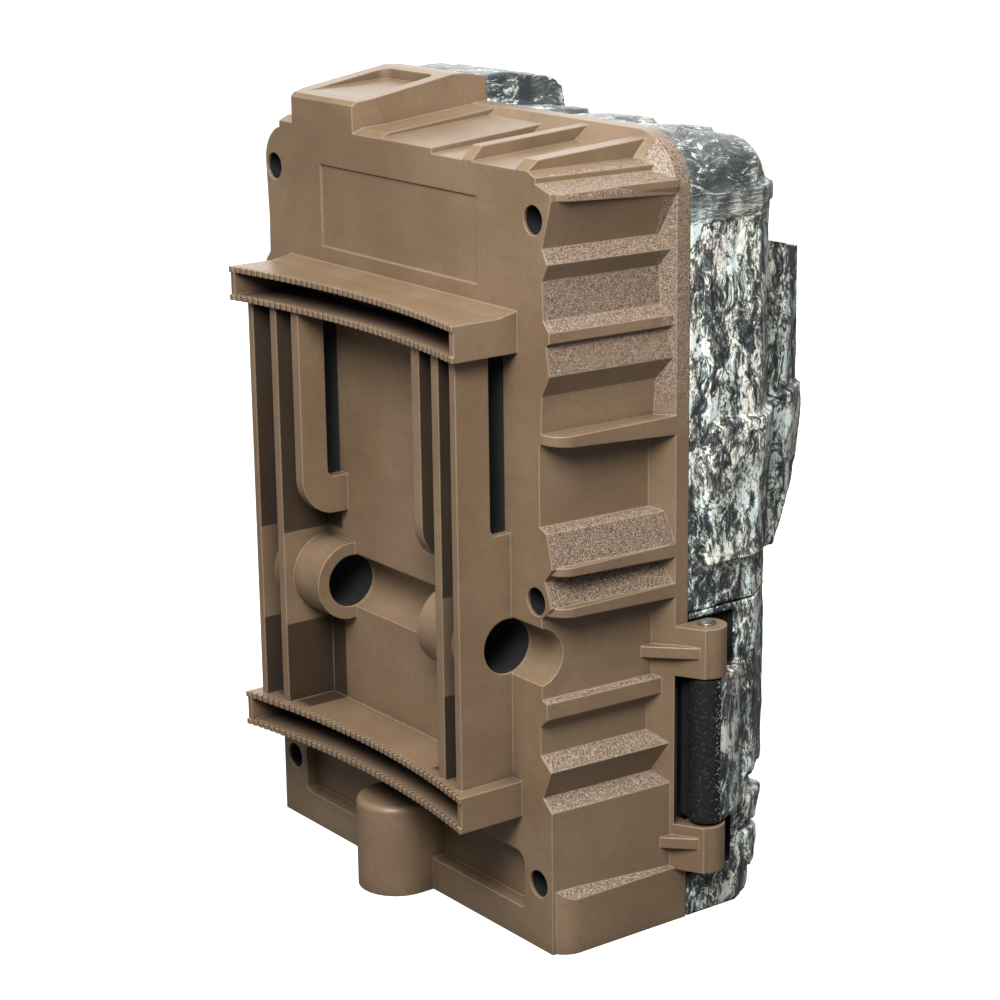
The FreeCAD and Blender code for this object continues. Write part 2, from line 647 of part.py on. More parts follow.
def front_housing():
    shell = minus(front_outside(), front_inside())
    posts = []
    for z in SCREW_Z[1:]:
        posts += both(rod_y(SCREW_X, z, 3.6, (SEAT_Y - 23.0, SEAM_Y)))
    keep = front_outside()
    shell = union([shell] + [post.common(keep) for post in posts])
    cutters = []
    for z in SCREW_Z[1:]:
        cutters += both(rod_y(SCREW_X, z, SCREW_R, (SEAT_Y - 21.0, SEAM_Y + 1)))
    cutters.append(rod_y(0, LENS_Z, WINDOW_R, (POD_Y - 2, FRONT_Y + 8)))
    seat = (POD_Y - 1, POD_Y + 1.0)
    through = (POD_Y - 1, POD_Y + 4)
    cutters.append(rounded_plate(LAMP_X, LAMP_Z, even(5.5), seat))
    cutters.append(rounded_plate(grown(LAMP_X, -1.5), grown(LAMP_Z, -1.5), even(4.0), through))
    cutters.append(rounded_plate(PIR_X, PIR_Z, even(4.0), seat))
    cutters.append(rounded_plate(grown(PIR_X, -1.2), grown(PIR_Z, -1.2), even(3.0), through))
    cutters.append(rod_y(16.5, 80.0, 1.3, (POD_Y - 1, POD_Y + 4)))
    cutters.append(rod_y(-16.5, 80.0, 0.8, (POD_Y - 1, POD_Y + 4)))
    return minus(shell, cutters)


def lens_bezel():
    ring = rod_y(0, LENS_Z, BEZEL_R, (POD_Y - 3.6, POD_Y))
    ring = ring.makeFillet(1.0, [e for e in ring.Edges if e.BoundBox.YMax < POD_Y - 3.5])
    cone = Part.makeCone(9.6, WINDOW_R - 0.6, 2.4, V(0, POD_Y - 3.6, LENS_Z), V(0, 1, 0))
    bore = rod_y(0, LENS_Z, WINDOW_R - 0.6, (POD_Y - 4, POD_Y + 1))
    seat = rod_y(0, LENS_Z, WINDOW_R, (POD_Y - 1.2, POD_Y + 0.1))
    return minus(ring, [cone, bore, seat])


def lens_window():
    return rod_y(0, LENS_Z, WINDOW_R, (POD_Y - 1.2, POD_Y))


BARREL_Y = (POD_Y + 0.6, -44.0)


def lens_barrel():
    tube = rod_y(0, LENS_Z, BARREL_R, BARREL_Y)
    bore = rod_y(0, LENS_Z, BARREL_R - 1.4, grown(BARREL_Y, 1))
    collar = rod_y(0, LENS_Z, BARREL_R + 1.4, (BARREL_Y[0] + 6, BARREL_Y[0] + 8)).cut(bore)
    grooves = []
    for i in range(4):
        y = BARREL_Y[0] + 10.5 + i * 1.6
        span = (y, y + 0.7)
        grooves.append(rod_y(0, LENS_Z, BARREL_R + 1, span).cut(rod_y(0, LENS_Z, BARREL_R - 0.4, span)))
    return minus(union([tube.cut(bore), collar]), grooves)


def lens_elements():
    """Three lenses in the barrel: a deep meniscus at the front and two thinner ones."""
    radius = BARREL_R - 1.4
    lenses = []
    for y, thickness, crown in ((BARREL_Y[0] + 2.4, 2.6, 2.2), (BARREL_Y[0] + 8.5, 2.0, 1.0),
                                (BARREL_Y[0] + 14.0, 2.2, 1.4)):
        sphere_r = (radius * radius + crown * crown) / (2 * crown)
        disc = rod_y(0, LENS_Z, radius, (y, y + thickness))
        dome = Part.makeSphere(sphere_r, V(0, y - crown + sphere_r, LENS_Z))
        cap = dome.common(rod_y(0, LENS_Z, radius, (y - crown - 0.1, y)))
        lenses.append(union([disc, cap]))
    return Part.makeCompound(lenses)


FILTER_Y = (-44.0, -38.6)


def filter_mount():
    """Filter changer behind the barrel, with a channel that the filter frame slides along."""
    block = box((-11.0, 11.0), FILTER_Y, (LENS_Z - 8.5, LENS_Z + 8.5))
    light = rod_y(0, LENS_Z, 4.0, grown(FILTER_Y, 1))
    channel = box((-10.0, 10.0), (FILTER_Y[0] + 1.6, FILTER_Y[0] + 3.4), (LENS_Z - 5.2, LENS_Z + 5.2))
    coil = rod_x((FILTER_Y[0] + FILTER_Y[1]) / 2, LENS_Z + 10.0, 1.9, (-8, 8))
    return union([minus(block, [light, channel]), coil])


def ir_cut_filter():
    """Sliding filter frame, with a round pane opening."""
    frame = box((-9.8, 3.6), (FILTER_Y[0] + 1.7, FILTER_Y[0] + 3.3), (LENS_Z - 5.0, LENS_Z + 5.0))
    pane = rod_y(-4.5, LENS_Z, 3.2, (FILTER_Y[0], FILTER_Y[1]))
    return minus(frame, [pane])


BOARD_Y = (-37.6, -36.0)
STANDOFFS = [(x, z) for x in (-31.0, 31.0) for z in (66.0, 123.0)]


def main_board():
    """Main board behind the lens, cut away for the screw posts."""
    board = box((-34.0, 34.0), BOARD_Y, (62.8, 130.0))
    holes = [rod_y(x, z, 1.6, grown(BOARD_Y, 1)) for x, z in STANDOFFS]
    return minus(board, holes)


def image_sensor():
    chip = box((-6.5, 6.5), (FILTER_Y[1], BOARD_Y[0]), (LENS_Z - 6.5, LENS_Z + 6.5))
    return chip


def board_standoffs():
    posts = [rod_y(x, z, 2.6, (FRONT_Y + FRONT_WALL, BOARD_Y[0])) for x, z in STANDOFFS]
    return Part.makeCompound(posts)


def board_screws():
    screws = []
    for x, z in STANDOFFS:
        head = rod_y(x, z, 2.6, (BOARD_Y[1], BOARD_Y[1] + 1.4))
        shank = rod_y(x, z, 1.6, (BOARD_Y[0], BOARD_Y[1]))
        slot = box((x - 1.6, x + 1.6), (BOARD_Y[1] + 0.8, BOARD_Y[1] + 2), (z - 0.35, z + 0.35))
        screws.append(minus(union([head, shank]), [slot]))
    return Part.makeCompound(screws)


def shield_can():
    return box((-28.0, -10.0), (BOARD_Y[1], BOARD_Y[1] + 2.6), (98.0, 118.0))


def radio_module():
    return box((8.0, 27.0), (BOARD_Y[1], BOARD_Y[1] + 2.6), (92.0, 122.0))


def antenna_board():
    return box((17.0, 29.4), (SEAM_Y - 9.0, SEAM_Y + 20.0), (HUMP_ROOM_Z[0], HUMP_ROOM_Z[0] + 1.0))


def lamp_window():
    return rounded_plate(LAMP_X, LAMP_Z, even(5.5), (POD_Y - 0.6, POD_Y + 1.0))


LAMP_BOARD_Y = (POD_Y + 7.4, POD_Y + 8.8)
LAMP_ROW_Z = (100.6, 106.2, 111.8)
LAMP_PITCH = 5.9


def lamp_places():
    places = []
    for z in LAMP_ROW_Z:
        for column in range(9):
            places.append(((column - 4) * LAMP_PITCH, z))
    return places


def lamp_board():
    return box((-28.0, 28.0), LAMP_BOARD_Y, (97.8, 114.9))


def ir_lamps():
    lamps = []
    for x, z in lamp_places():
        body = rod_y(x, z, 2.3, (LAMP_BOARD_Y[0] - 3.4, LAMP_BOARD_Y[0]))
        dome = Part.makeSphere(2.3, V(x, LAMP_BOARD_Y[0] - 3.4, z))
        base = rod_y(x, z, 2.6, (LAMP_BOARD_Y[0] - 0.8, LAMP_BOARD_Y[0]))
        lamps.append(union([body, dome, base]))
    return Part.makeCompound(lamps)


def pir_lens():
    """Curved sensor lens, bulging like a shallow barrel."""
    base = rounded_plate(PIR_X, PIR_Z, even(4.0), (POD_Y - 0.4, POD_Y + 1.0))
    bow_r = 18.0
    bulge = rod_z(0, POD_Y - 4.0 + bow_r, bow_r, grown(PIR_Z, -0.8))
    window = rounded_plate(grown(PIR_X, -0.8), grown(PIR_Z, -0.8), even(3.4), (POD_Y - 6, POD_Y - 0.4))
    hollow = rod_z(0, POD_Y - 3.0 + bow_r, bow_r, grown(PIR_Z, -2.0))
    room = box(grown(PIR_X, -2.4), (POD_Y - 6, POD_Y + 2), grown(PIR_Z, -2.0))
    return minus(union([base, bulge.common(window)]), [hollow.common(room)])


def pir_sensor():
    board_y = (POD_Y + 8.4, POD_Y + 9.8)
    can = rod_y(0, 68.0, 4.5, (POD_Y + 4.5, board_y[0]))
    board = box((-9.0, 9.0), board_y, (62.2, 74.0))
    return union([can, board])


def status_lamp():
    return rod_y(16.5, 80.0, 1.3, (POD_Y - 0.2, POD_Y + 3.8))


def microphone():
    return rod_y(-16.5, 80.0, 2.2, (POD_Y + 2.4, POD_Y + 4.4))


# ---------------------------------------------------------------- control deck and battery tray
DISPLAY_X = (-37.6, -13.4)
DISPLAY_Z = (34.0, 55.0)
CARD_X = (-37.5, -13.5)
CARD_MID_Z = 30.9
SWITCH_X = (-32.0, -19.0)
SWITCH_Z = (3.9, 6.9)
RELEASE_X = (35.6, 38.0)
RELEASE_Z = (25.0, 35.0)
DECK_HALF = 42.0
DECK_Z = (2.2, 56.2)
DECK_BOSS_R = 2.3
CONTROL_BOARD_Y = (-28.6, -27.0)


def button_places():
    x, z = PAD_CENTRE
    return {"button_up": (x, z + BUTTON_PITCH), "button_down": (x, z - BUTTON_PITCH),
            "button_left": (x - BUTTON_PITCH, z), "button_right": (x + BUTTON_PITCH, z),
            "button_ok": (x, z)}


def control_deck():
    """Fixed panel behind the door: display, buttons, switch, card slot and battery bay mouth."""
    y = (DECK_Y, SEAM_Y)
    plate = rounded_plate((-DECK_HALF, DECK_HALF), DECK_Z, even(1.5), y)
    wall = box((TRAY_X[0] - 1.3, TRAY_X[0] - 0.3), (SEAM_Y, SEAM_Y + 14.0), (TRAY_Z[0], TRAY_Z[1] - 8.4))
    lip = box((-38.3, 38.3), (SEAM_Y, SEAM_Y + 1.2), (TRAY_Z[1] + 0.4, UPPER_Z + 2.0))
    bosses = both(rod_y(SCREW_X, SCREW_Z[0], DECK_BOSS_R, (SEAT_Y - 21.0, DECK_Y)))
    pillars = [rod_y(x, z, 1.4, (SEAM_Y, CONTROL_BOARD_Y[0])) for x in (-33.6, -15.6) for z in (9.6, 26.9)]
    deck = union([plate, wall, lip] + bosses + pillars)
    cutters = [box(grown(TRAY_X, 0.3), (DECK_Y - 1, SEAM_Y + 20), grown(TRAY_Z, 0.2))]
    cutters.append(rounded_plate(DISPLAY_X, DISPLAY_Z, even(1.0), (DECK_Y - 1, DECK_Y + 1.0)))
    cutters.append(rounded_plate(grown(DISPLAY_X, -1.6), grown(DISPLAY_Z, -1.6),
                                 even(0.8), (DECK_Y - 1, SEAM_Y + 1)))
    card_gap = (CARD_MID_Z - 1.35, CARD_MID_Z + 1.35)
    cutters.append(box(grown(CARD_X, 0.3), (DECK_Y - 1, SEAM_Y + 1), card_gap))
    cutters.append(box(SWITCH_X, (DECK_Y - 1, SEAM_Y + 1), SWITCH_Z))
    cutters.append(box(grown(RELEASE_X, 0.15), (DECK_Y - 1, SEAM_Y + 1),
                       grown(RELEASE_Z, 0.15)))
    for x, z in button_places().values():
        cutters.append(rod_y(x, z, BUTTON_R + 0.08, (DECK_Y - 1, SEAM_Y + 1)))
    cutters += both(rod_y(SCREW_X, SCREW_Z[0], SCREW_R, (SEAT_Y - 20.0, SEAM_Y + 1)))
    return minus(deck, cutters)


def door_seal():
    y = (DECK_Y - 0.8, DECK_Y)
    outer = rounded_plate((-DECK_HALF + 0.3, DECK_HALF - 0.3), grown(DECK_Z, -0.1), even(1.4), y)
    inner_z = (DECK_Z[0] + 1.0, DECK_Z[1] - 0.7)
    inner = rounded_plate((-DECK_HALF + 1.3, DECK_HALF - 1.3), inner_z, even(0.6), y)
    collars = both(rod_y(SCREW_X, SCREW_Z[0], DECK_BOSS_R + 1.0, y).common(outer))
    bosses = both(rod_y(SCREW_X, SCREW_Z[0], DECK_BOSS_R, y))
    return minus(union([outer.cut(inner)] + collars), bosses)


def button(x, z):
    cap = rod_y(x, z, BUTTON_R, (DECK_Y - 1.0, SEAM_Y + 1.1))
    rim_edges = [e for e in cap.Edges if e.BoundBox.YMax < DECK_Y - 0.9]
    flange = rod_y(x, z, BUTTON_R + 0.7, (SEAM_Y + 0.1, SEAM_Y + 1.1))
    return union([cap.makeFillet(0.4, rim_edges), flange])


def control_board():
    return box((-35.3, -13.0), CONTROL_BOARD_Y, (3.6, 28.6))


def dome_switches():
    domes = []
    for x, z in button_places().values():
        base = box((x - 2.2, x + 2.2), (CONTROL_BOARD_Y[0] - 0.9, CONTROL_BOARD_Y[0]), (z - 2.2, z + 2.2))
        domes.append(union([base, rod_y(x, z, 1.2, (CONTROL_BOARD_Y[0] - 1.4, CONTROL_BOARD_Y[0] - 0.9))]))
    return Part.makeCompound(domes)


def power_switch():
    """Sliding knob with three grip ridges."""
    x0 = SWITCH_X[0] + 0.4
    knob = box((x0, x0 + 3.6), (DECK_Y - 1.3, SEAM_Y + 0.9), grown(SWITCH_Z, -0.2))
    grooves = []
    for i in range(2):
        x = x0 + 1.0 + i * 1.2
        grooves.append(box((x, x + 0.4), (DECK_Y - 1.4, DECK_Y - 0.9), (SWITCH_Z[0], SWITCH_Z[1])))
    return minus(knob, grooves)


def switch_body():
    return box(grown(SWITCH_X, -0.2), (SEAM_Y + 1.0, CONTROL_BOARD_Y[0]), (4.0, 6.8))


def display_panel():
    return box(grown(DISPLAY_X, -0.4), (SEAM_Y, SEAM_Y + 2.2), (DISPLAY_Z[0] + 0.2, DISPLAY_Z[1]))


def display_window():
    return rounded_plate(DISPLAY_X, DISPLAY_Z, even(1.0), (DECK_Y, DECK_Y + 1.0))


CARD_Y = (-37.8, -5.8)


def memory_card():
    """Full-size card with a cut corner and a thumb groove."""
    card = prism_xy([(CARD_X[0], CARD_Y[0]), (CARD_X[1], CARD_Y[0]), (CARD_X[1], CARD_Y[1]),
                     (CARD_X[0] + 4.0, CARD_Y[1]), (CARD_X[0], CARD_Y[1] - 4.0)],
                    (CARD_MID_Z - 1.05, CARD_MID_Z + 1.05))
    groove = box(grown(CARD_X, -3), (CARD_Y[0] + 1.2, CARD_Y[0] + 2.2), (CARD_MID_Z + 0.75, CARD_MID_Z + 2))
    return minus(card, [groove])


def card_socket():
    shell = box(grown(CARD_X, 0.8), (SEAM_Y, REAR_Y - 2.5), (CARD_MID_Z - 1.75, CARD_MID_Z + 1.75))
    room = box(grown(CARD_X, 0.2), (SEAM_Y - 1, REAR_Y - 1), (CARD_MID_Z - 1.25, CARD_MID_Z + 1.25))
    return minus(shell, [room])


TRAY_WALL = 0.8
CELL_X = (-3.2, 11.4, 26.0)
CELL_Y = (-17.95, -32.25)


def battery_tray():
    """Open-backed cassette for two layers of three cells, with a grip across its front."""
    case = box(TRAY_X, TRAY_Y, TRAY_Z)
    room = box((TRAY_X[0] + TRAY_WALL, TRAY_X[1] - TRAY_WALL), (TRAY_Y[0] + 1.0, TRAY_Y[1] + 1),
               (TRAY_Z[0] + TRAY_WALL, TRAY_Z[1] - TRAY_WALL))
    windows = []
    for x in CELL_X:
        front = (TRAY_Y[0] - 1, TRAY_Y[0] + 2)
        windows.append(rounded_plate((x - 4.5, x + 4.5), (12.0, 47.0), even(3.0), front))
    side_slots = [box(grown(TRAY_X, 1), (-30.0, -20.0), (16.0, 43.0))]
    divider_y = (CELL_Y[0] + CELL_Y[1]) / 2
    dividers = []
    for x in (CELL_X[0] + CELL_X[1]) / 2, (CELL_X[1] + CELL_X[2]) / 2:
        dividers.append(box((x - 0.25, x + 0.25), TRAY_Y, (TRAY_Z[0], TRAY_Z[0] + 10.0)))
        dividers.append(box((x - 0.25, x + 0.25), TRAY_Y, (TRAY_Z[1] - 10.0, TRAY_Z[1])))
        peg = rod_z(x, divider_y, 1.6, TRAY_Z)
        dividers.append(peg)
    grip = box(grown(TRAY_X, -12.0), (TRAY_Y[0] - 3.0, TRAY_Y[0]), (28.0, 30.2))
    return union([minus(case, [room] + windows + side_slots), grip] + dividers)


def cell(x, y, up):
    """One AA cell standing upright; up says which end the contact button is on."""
    z0 = TRAY_Z[0] + TRAY_WALL + 0.5
    body_z = (z0, z0 + CELL_LENGTH - 1.2) if up else (z0 + 1.2, z0 + CELL_LENGTH)
    nub_z = (body_z[1], z0 + CELL_LENGTH) if up else (z0, body_z[0])
    body = rod_z(x, y, CELL_R, body_z)
    body = body.makeFillet(0.5, [e for e in body.Edges if len(e.Vertexes) == 1])
    return union([body, rod_z(x, y, 2.7, nub_z)])


def batteries():
    cells = []
    for i, x in enumerate(CELL_X):
        for j, y in enumerate(CELL_Y):
            cells.append(cell(x, y, (i + j) % 2 == 0))
    return Part.makeCompound(cells)


def battery_contacts():
    """Flat spring plates at both ends of each cell."""
    plates = []
    for z in (TRAY_Z[0] + TRAY_WALL, TRAY_Z[1] - TRAY_WALL - 0.45):
        for x in CELL_X:
            for y in CELL_Y:
                plates.append(box((x - 5.0, x + 5.0), (y - 5.0, y + 5.0), (z, z + 0.45)))
    return Part.makeCompound(plates)


def tray_release():
    """Push key beside the tray that lets it out."""
    stem = box(RELEASE_X, (DECK_Y - 1.2, SEAM_Y + 1.4), RELEASE_Z)
    flange = box((RELEASE_X[0] - 0.5, RELEASE_X[1] + 0.4), (SEAM_Y + 0.1, SEAM_Y + 1.4),
                 grown(RELEASE_Z, 0.8))
    key = union([stem, flange])
    ridges = []
    for i in range(3):
        z = RELEASE_Z[0] + 2.4 + i * 2.2
        ridges.append(box(grown(RELEASE_X, 1), (DECK_Y - 1.3, DECK_Y - 0.8), (z, z + 0.8)))
    return minus(key, ridges)


def dc_jack():
    body = box((28.0, HALF_CAVITY), (JACK_Y - 4.5, JACK_Y + 3.7), (PORT_MID_Z - 5.0, PORT_MID_Z + 5.0))
    bore = rod_x(JACK_Y, PORT_MID_Z, JACK_R - 0.2, (29.5, 45))
    pin = rod_x(JACK_Y, PORT_MID_Z, 0.65, (28.5, HALF_CAVITY - 1.5))
    return union([minus(body, [bore]), pin])


def usb_port():
    y = (USB_Y - USB_HALF[0], USB_Y + USB_HALF[0] - 1.2)
    shell = box((31.0, HALF_CAVITY), (y[0] + 0.2, USB_Y + 3.4), (PORT_MID_Z - 1.7, PORT_MID_Z + 1.7))
    room = box((32.0, 45), (y[0] + 0.7, USB_Y + 2.9), (PORT_MID_Z - 1.2, PORT_MID_Z + 1.2))
    tongue = box((31.5, HALF_CAVITY - 1), (y[0] + 1.5, USB_Y + 2.1), (PORT_MID_Z - 0.35, PORT_MID_Z + 0.35))
    return union([minus(shell, [room]), tongue])


def port_cover():
    """Rubber flap over the ports, with two short plugs and a thumb tab."""
    x = (PORT_X + 0.3, PORT_X + 2.2)
    hx, hy = FLAP_AXIS
    slab = rounded_plate((-hy, -PORT_Y[0] - 0.3), grown(PORT_Z, -0.4), (0, 2.5, 2.5, 0), x)
    slab.rotate(V(0, 0, 0), V(0, 0, 1), -90)
    bead = rod_z(hx, hy, 1.2, grown(PORT_Z, -0.4))
    pin = rod_z(hx, hy, FLAP_PIN_R, grown(PORT_Z, 0.8))
    jack_plug = rod_x(JACK_Y, PORT_MID_Z, JACK_R - 0.5, (PORT_X - 0.9, x[0]))
    usb_plug = box((PORT_X - 0.9, x[0]), (USB_Y - USB_HALF[0] + 0.6, USB_Y + USB_HALF[0] - 0.6),
                   (PORT_MID_Z - USB_HALF[1] + 0.4, PORT_MID_Z + USB_HALF[1] - 0.4))
    tab = box((x[1], x[1] + 0.8), (PORT_Y[0] + 0.8, PORT_Y[0] + 2.4), (PORT_MID_Z - 3.0, PORT_MID_Z + 3.0))
    return union([slab, bead, pin, jack_plug, usb_plug, tab])


# ---------------------------------------------------------------- door and latch
DOOR_Y = SEAM_Y - 0.3      # rear edge of the door, a hair in front of the rim
LEDGE_Y = DECK_Y - 1.1    # inner ledge of the door, just in front of its seal
LATCH_AXIS = (48.2, REAR_Y - 35.5)
LATCH_Z = (23.2, 40.8)
EAR = 2.4                 # thickness of the ears that carry the latch
LATCH_PIN_R = 1.0
LATCH_R = 2.2
KNUCKLE_POCKET = (-44.0, REAR_Y - 39.8)   # floor and front end of the door's pockets beside the fixed knuckles


def door_outside():
    block = front_block((0, DOOR_TOP_Z), 0)
    slope = prism_yz([(SEAM_Y, 0), (SEAM_Y, DOOR_TOP_Z), (FRONT_Y, DOOR_TOP_Z), (FRONT_Y, 17.5),
                      (FRONT_Y + 2.4, 14.0), (FRONT_Y + 3.2, 7.0), (FRONT_Y + 4.8, 0)], (-60, 60))
    block = block.common(slope)
    front_pad = rounded_plate((-31, 31), (15.0, 50.0), even(6.0), (FRONT_Y - 2.2, FRONT_Y + 1.5))
    front_pad = front_pad.makeChamfer(1.4, [e for e in front_pad.Edges if e.BoundBox.YMax < FRONT_Y - 2.1])
    grooves = []
    for z in ((19.4, 24.0), (12.8, 14.0)):
        grooves += both(box((30.0, 60.0), (FRONT_Y - 1, FRONT_Y + 9.0), z))
    corner = [(60, FRONT_Y - 1), (60, SIDE_CHAMFER_Y + 5.2), (HALF_W, SIDE_CHAMFER_Y + 3.4),
              (FRONT_HALF - 1.6, FRONT_Y - 1)]
    trims = both(prism_xy(corner, (-1, 6.0)))
    inset = front_block((-1, 60), 1.6)
    return minus(union([block, front_pad]), [g.cut(inset) for g in grooves] + trims)


def door_inside():
    hollow = front_block((1.9, DOOR_TOP_Z - 1.1), 2.3)
    hollow = hollow.fuse(box((-43.35, 43.35), (SEAM_Y - 2, SEAM_Y + 1), (1.9, DOOR_TOP_Z - 1.1)))
    back = box((-60, 60), (FRONT_Y - 5, FRONT_Y + WALL), (-1, 60))
    slope = prism_yz([(SEAM_Y + 1, -5), (SEAM_Y + 1, 70), (FRONT_Y, 70), (FRONT_Y, 20.0),
                      (FRONT_Y + 4.4, 15.5), (FRONT_Y + 5.2, 7.0), (FRONT_Y + 6.6, 0), (FRONT_Y + 6.6, -5)],
                     (-60, 60))
    in_pad = rounded_plate((-29, 29), (19.0, 48.0), even(4.5), (FRONT_Y, FRONT_Y + WALL + 1))
    return union([hollow.cut(back).common(slope), in_pad])


def door_ledge():
    """Narrow ledge all round the inside of the door that presses on the seal."""
    y = (LEDGE_Y - 1.8, LEDGE_Y)
    outer = box((-43.5, 43.5), y, (1.7, DOOR_TOP_Z - 0.9))
    inner = box((-41.0, 41.0), grown(y, 1), (3.1, DOOR_TOP_Z - 2.0))
    gaps = both(box((36.0, 43.35), grown(y, 1), (SCREW_Z[0] - 4.0, SCREW_Z[0] + 4.0)))
    return minus(outer, [inner] + gaps)


def latch_ears():
    ears = []
    lx, ly = LATCH_AXIS
    web = [(HALF_W - 1, ly - 5.5), (HALF_W, ly - 5.5), (lx + 2.0, ly - 1.3), (lx, ly + LATCH_R),
           (HALF_W - 1, ly + LATCH_R)]
    for z in ((LATCH_Z[0] - 0.2 - EAR, LATCH_Z[0] - 0.2), (LATCH_Z[1] + 0.2, LATCH_Z[1] + 0.2 + EAR)):
        ears += [rod_z(lx, ly, LATCH_R + 0.2, z), prism_xy(web, z)]
    return ears


def door():
    hx, hy = HINGE
    shell = minus(door_outside(), [door_inside(), box((-60, 60), (DOOR_Y, 0), (-1, 60))])
    barrel = rod_z(hx, hy, DOOR_KNUCKLE_R, DOOR_KNUCKLE)
    web = prism_xy([(hx + 0.5, hy - DOOR_KNUCKLE_R + 0.05), (-HALF_W + 1, hy - 10.0), (-HALF_W + 1, DOOR_Y),
                    (-HALF_W, DOOR_Y), (hx + 1.4, hy + 1.6)], DOOR_KNUCKLE)
    flare = prism_xy([(hx - 2.6, hy - 2.3), (hx - 1.0, hy - 5.5), (-HALF_W + 1, hy - 13.0),
                      (-HALF_W + 1, hy)], DOOR_KNUCKLE)
    shell = union([shell, door_ledge(), barrel, web, flare] + latch_ears())
    cutters = [rod_z(hx, hy, PIN_R + RUN, grown(DOOR_KNUCKLE, 1))]
    for z in ((FIXED_KNUCKLES[0][0] - 1.9, DOOR_KNUCKLE[0]), (DOOR_KNUCKLE[1], FIXED_KNUCKLES[1][1] + 0.5)):
        cutters.append(rod_z(hx, hy, 5.0, z))
        cutters.append(box((-60, KNUCKLE_POCKET[0]), (KNUCKLE_POCKET[1], DOOR_Y + 1), z))
    cutters.append(rod_z(LATCH_AXIS[0], LATCH_AXIS[1], LATCH_PIN_R, (0, DOOR_TOP_Z)))
    return minus(shell, cutters)


def latch_lever():
    """Lever that lies along the side over the rim, with a finger lip at its end."""
    lx, ly = LATCH_AXIS
    barrel = rod_z(lx, ly, LATCH_R, LATCH_Z)
    inner = HALF_W + 0.4
    arm = prism_xy([(inner, ly), (inner, ly + 14.6), (inner + 1.6, ly + 17.0), (51.2, ly + 17.9),
                    (51.5, ly + 16.6), (49.4, ly + 14.4), (lx + LATCH_R - 0.1, ly + 2.0),
                    (lx + LATCH_R - 0.1, ly)], LATCH_Z)
    ribs = []
    for i in range(4):
        y = ly + 6.0 + i * 1.8
        ribs.append(box((48.0, lx + LATCH_R + 0.35), (y, y + 0.8), grown(LATCH_Z, -2.5)))
    bore = rod_z(lx, ly, LATCH_PIN_R + RUN, grown(LATCH_Z, 1))
    return minus(union([barrel, arm] + ribs), [bore])


def latch_pin():
    z = (LATCH_Z[0] - 0.2 - EAR, LATCH_Z[1] + 0.2 + EAR)
    return rod_z(LATCH_AXIS[0], LATCH_AXIS[1], LATCH_PIN_R, z)


# ---------------------------------------------------------------- all sub-parts
write("rear_housing", rear_housing())
write("case_screws", case_screws())
write("tripod_insert", tripod_insert())
write("case_seal", seal_ring((SEAM_Y, SEAM_Y + 1.0)))
write("hinge_pin", hinge_pin())
write("front_housing", front_housing())
write("lens_bezel", lens_bezel())
write("lens_window", lens_window())
write("lens_barrel", lens_barrel())
write("lens_elements", lens_elements())
write("filter_mount", filter_mount())
write("ir_cut_filter", ir_cut_filter())
write("image_sensor", image_sensor())
write("main_board", main_board())
write("board_standoffs", board_standoffs())
write("board_screws", board_screws())
write("shield_can", shield_can())
write("radio_module", radio_module())
write("antenna_board", antenna_board())
write("lamp_window", lamp_window())
write("lamp_board", lamp_board())
write("ir_lamps", ir_lamps())
write("pir_lens", pir_lens())
write("pir_sensor", pir_sensor())
write("status_lamp", status_lamp())
write("microphone", microphone())
write("control_deck", control_deck())
write("door_seal", door_seal())
for name, (bx, bz) in button_places().items():
    write(name, button(bx, bz))
write("control_board", control_board())
write("dome_switches", dome_switches())
write("power_switch", power_switch())
write("switch_body", switch_body())
write("display_panel", display_panel())
write("display_window", display_window())
write("memory_card", memory_card())
write("card_socket", card_socket())
write("battery_tray", battery_tray())
write("batteries", batteries())
write("battery_contacts", battery_contacts())
write("tray_release", tray_release())
write("dc_jack", dc_jack())
write("usb_port", usb_port())
write("port_cover", port_cover())
write("door", door())
write("latch_lever", latch_lever())
write("latch_pin", latch_pin())
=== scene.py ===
import json
import math

import bmesh
import bpy
import numpy as np
from mathutils import Matrix, Vector

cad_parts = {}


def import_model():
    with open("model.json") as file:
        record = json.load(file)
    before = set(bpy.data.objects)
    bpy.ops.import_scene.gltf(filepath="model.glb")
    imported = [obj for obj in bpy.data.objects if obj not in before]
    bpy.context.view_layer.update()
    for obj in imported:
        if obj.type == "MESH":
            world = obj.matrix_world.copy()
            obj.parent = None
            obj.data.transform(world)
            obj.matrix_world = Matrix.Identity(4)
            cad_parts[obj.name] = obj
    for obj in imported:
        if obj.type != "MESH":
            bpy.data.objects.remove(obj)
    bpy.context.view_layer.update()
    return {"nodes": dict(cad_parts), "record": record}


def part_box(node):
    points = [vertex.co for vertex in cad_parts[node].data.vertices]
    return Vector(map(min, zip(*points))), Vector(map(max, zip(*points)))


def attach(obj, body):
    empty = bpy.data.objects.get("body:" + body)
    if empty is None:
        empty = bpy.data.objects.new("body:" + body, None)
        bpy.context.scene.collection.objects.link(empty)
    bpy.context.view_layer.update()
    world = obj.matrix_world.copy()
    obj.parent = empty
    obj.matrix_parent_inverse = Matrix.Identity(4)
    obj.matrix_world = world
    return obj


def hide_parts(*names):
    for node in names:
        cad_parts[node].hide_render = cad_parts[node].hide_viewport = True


# Looks of a trail camera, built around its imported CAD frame. Metres, +Z up, lens along -Y.
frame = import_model()
nodes = frame["nodes"]
MM = 0.001


# ------------------------------------------------------------------ node graph helpers
def srgb(r, g, b):
    """Linear RGBA from 0-255 sRGB."""
    def lin(v):
        v /= 255.0
        return v / 12.92 if v <= 0.04045 else ((v + 0.055) / 1.055) ** 2.4
    return (lin(r), lin(g), lin(b), 1.0)


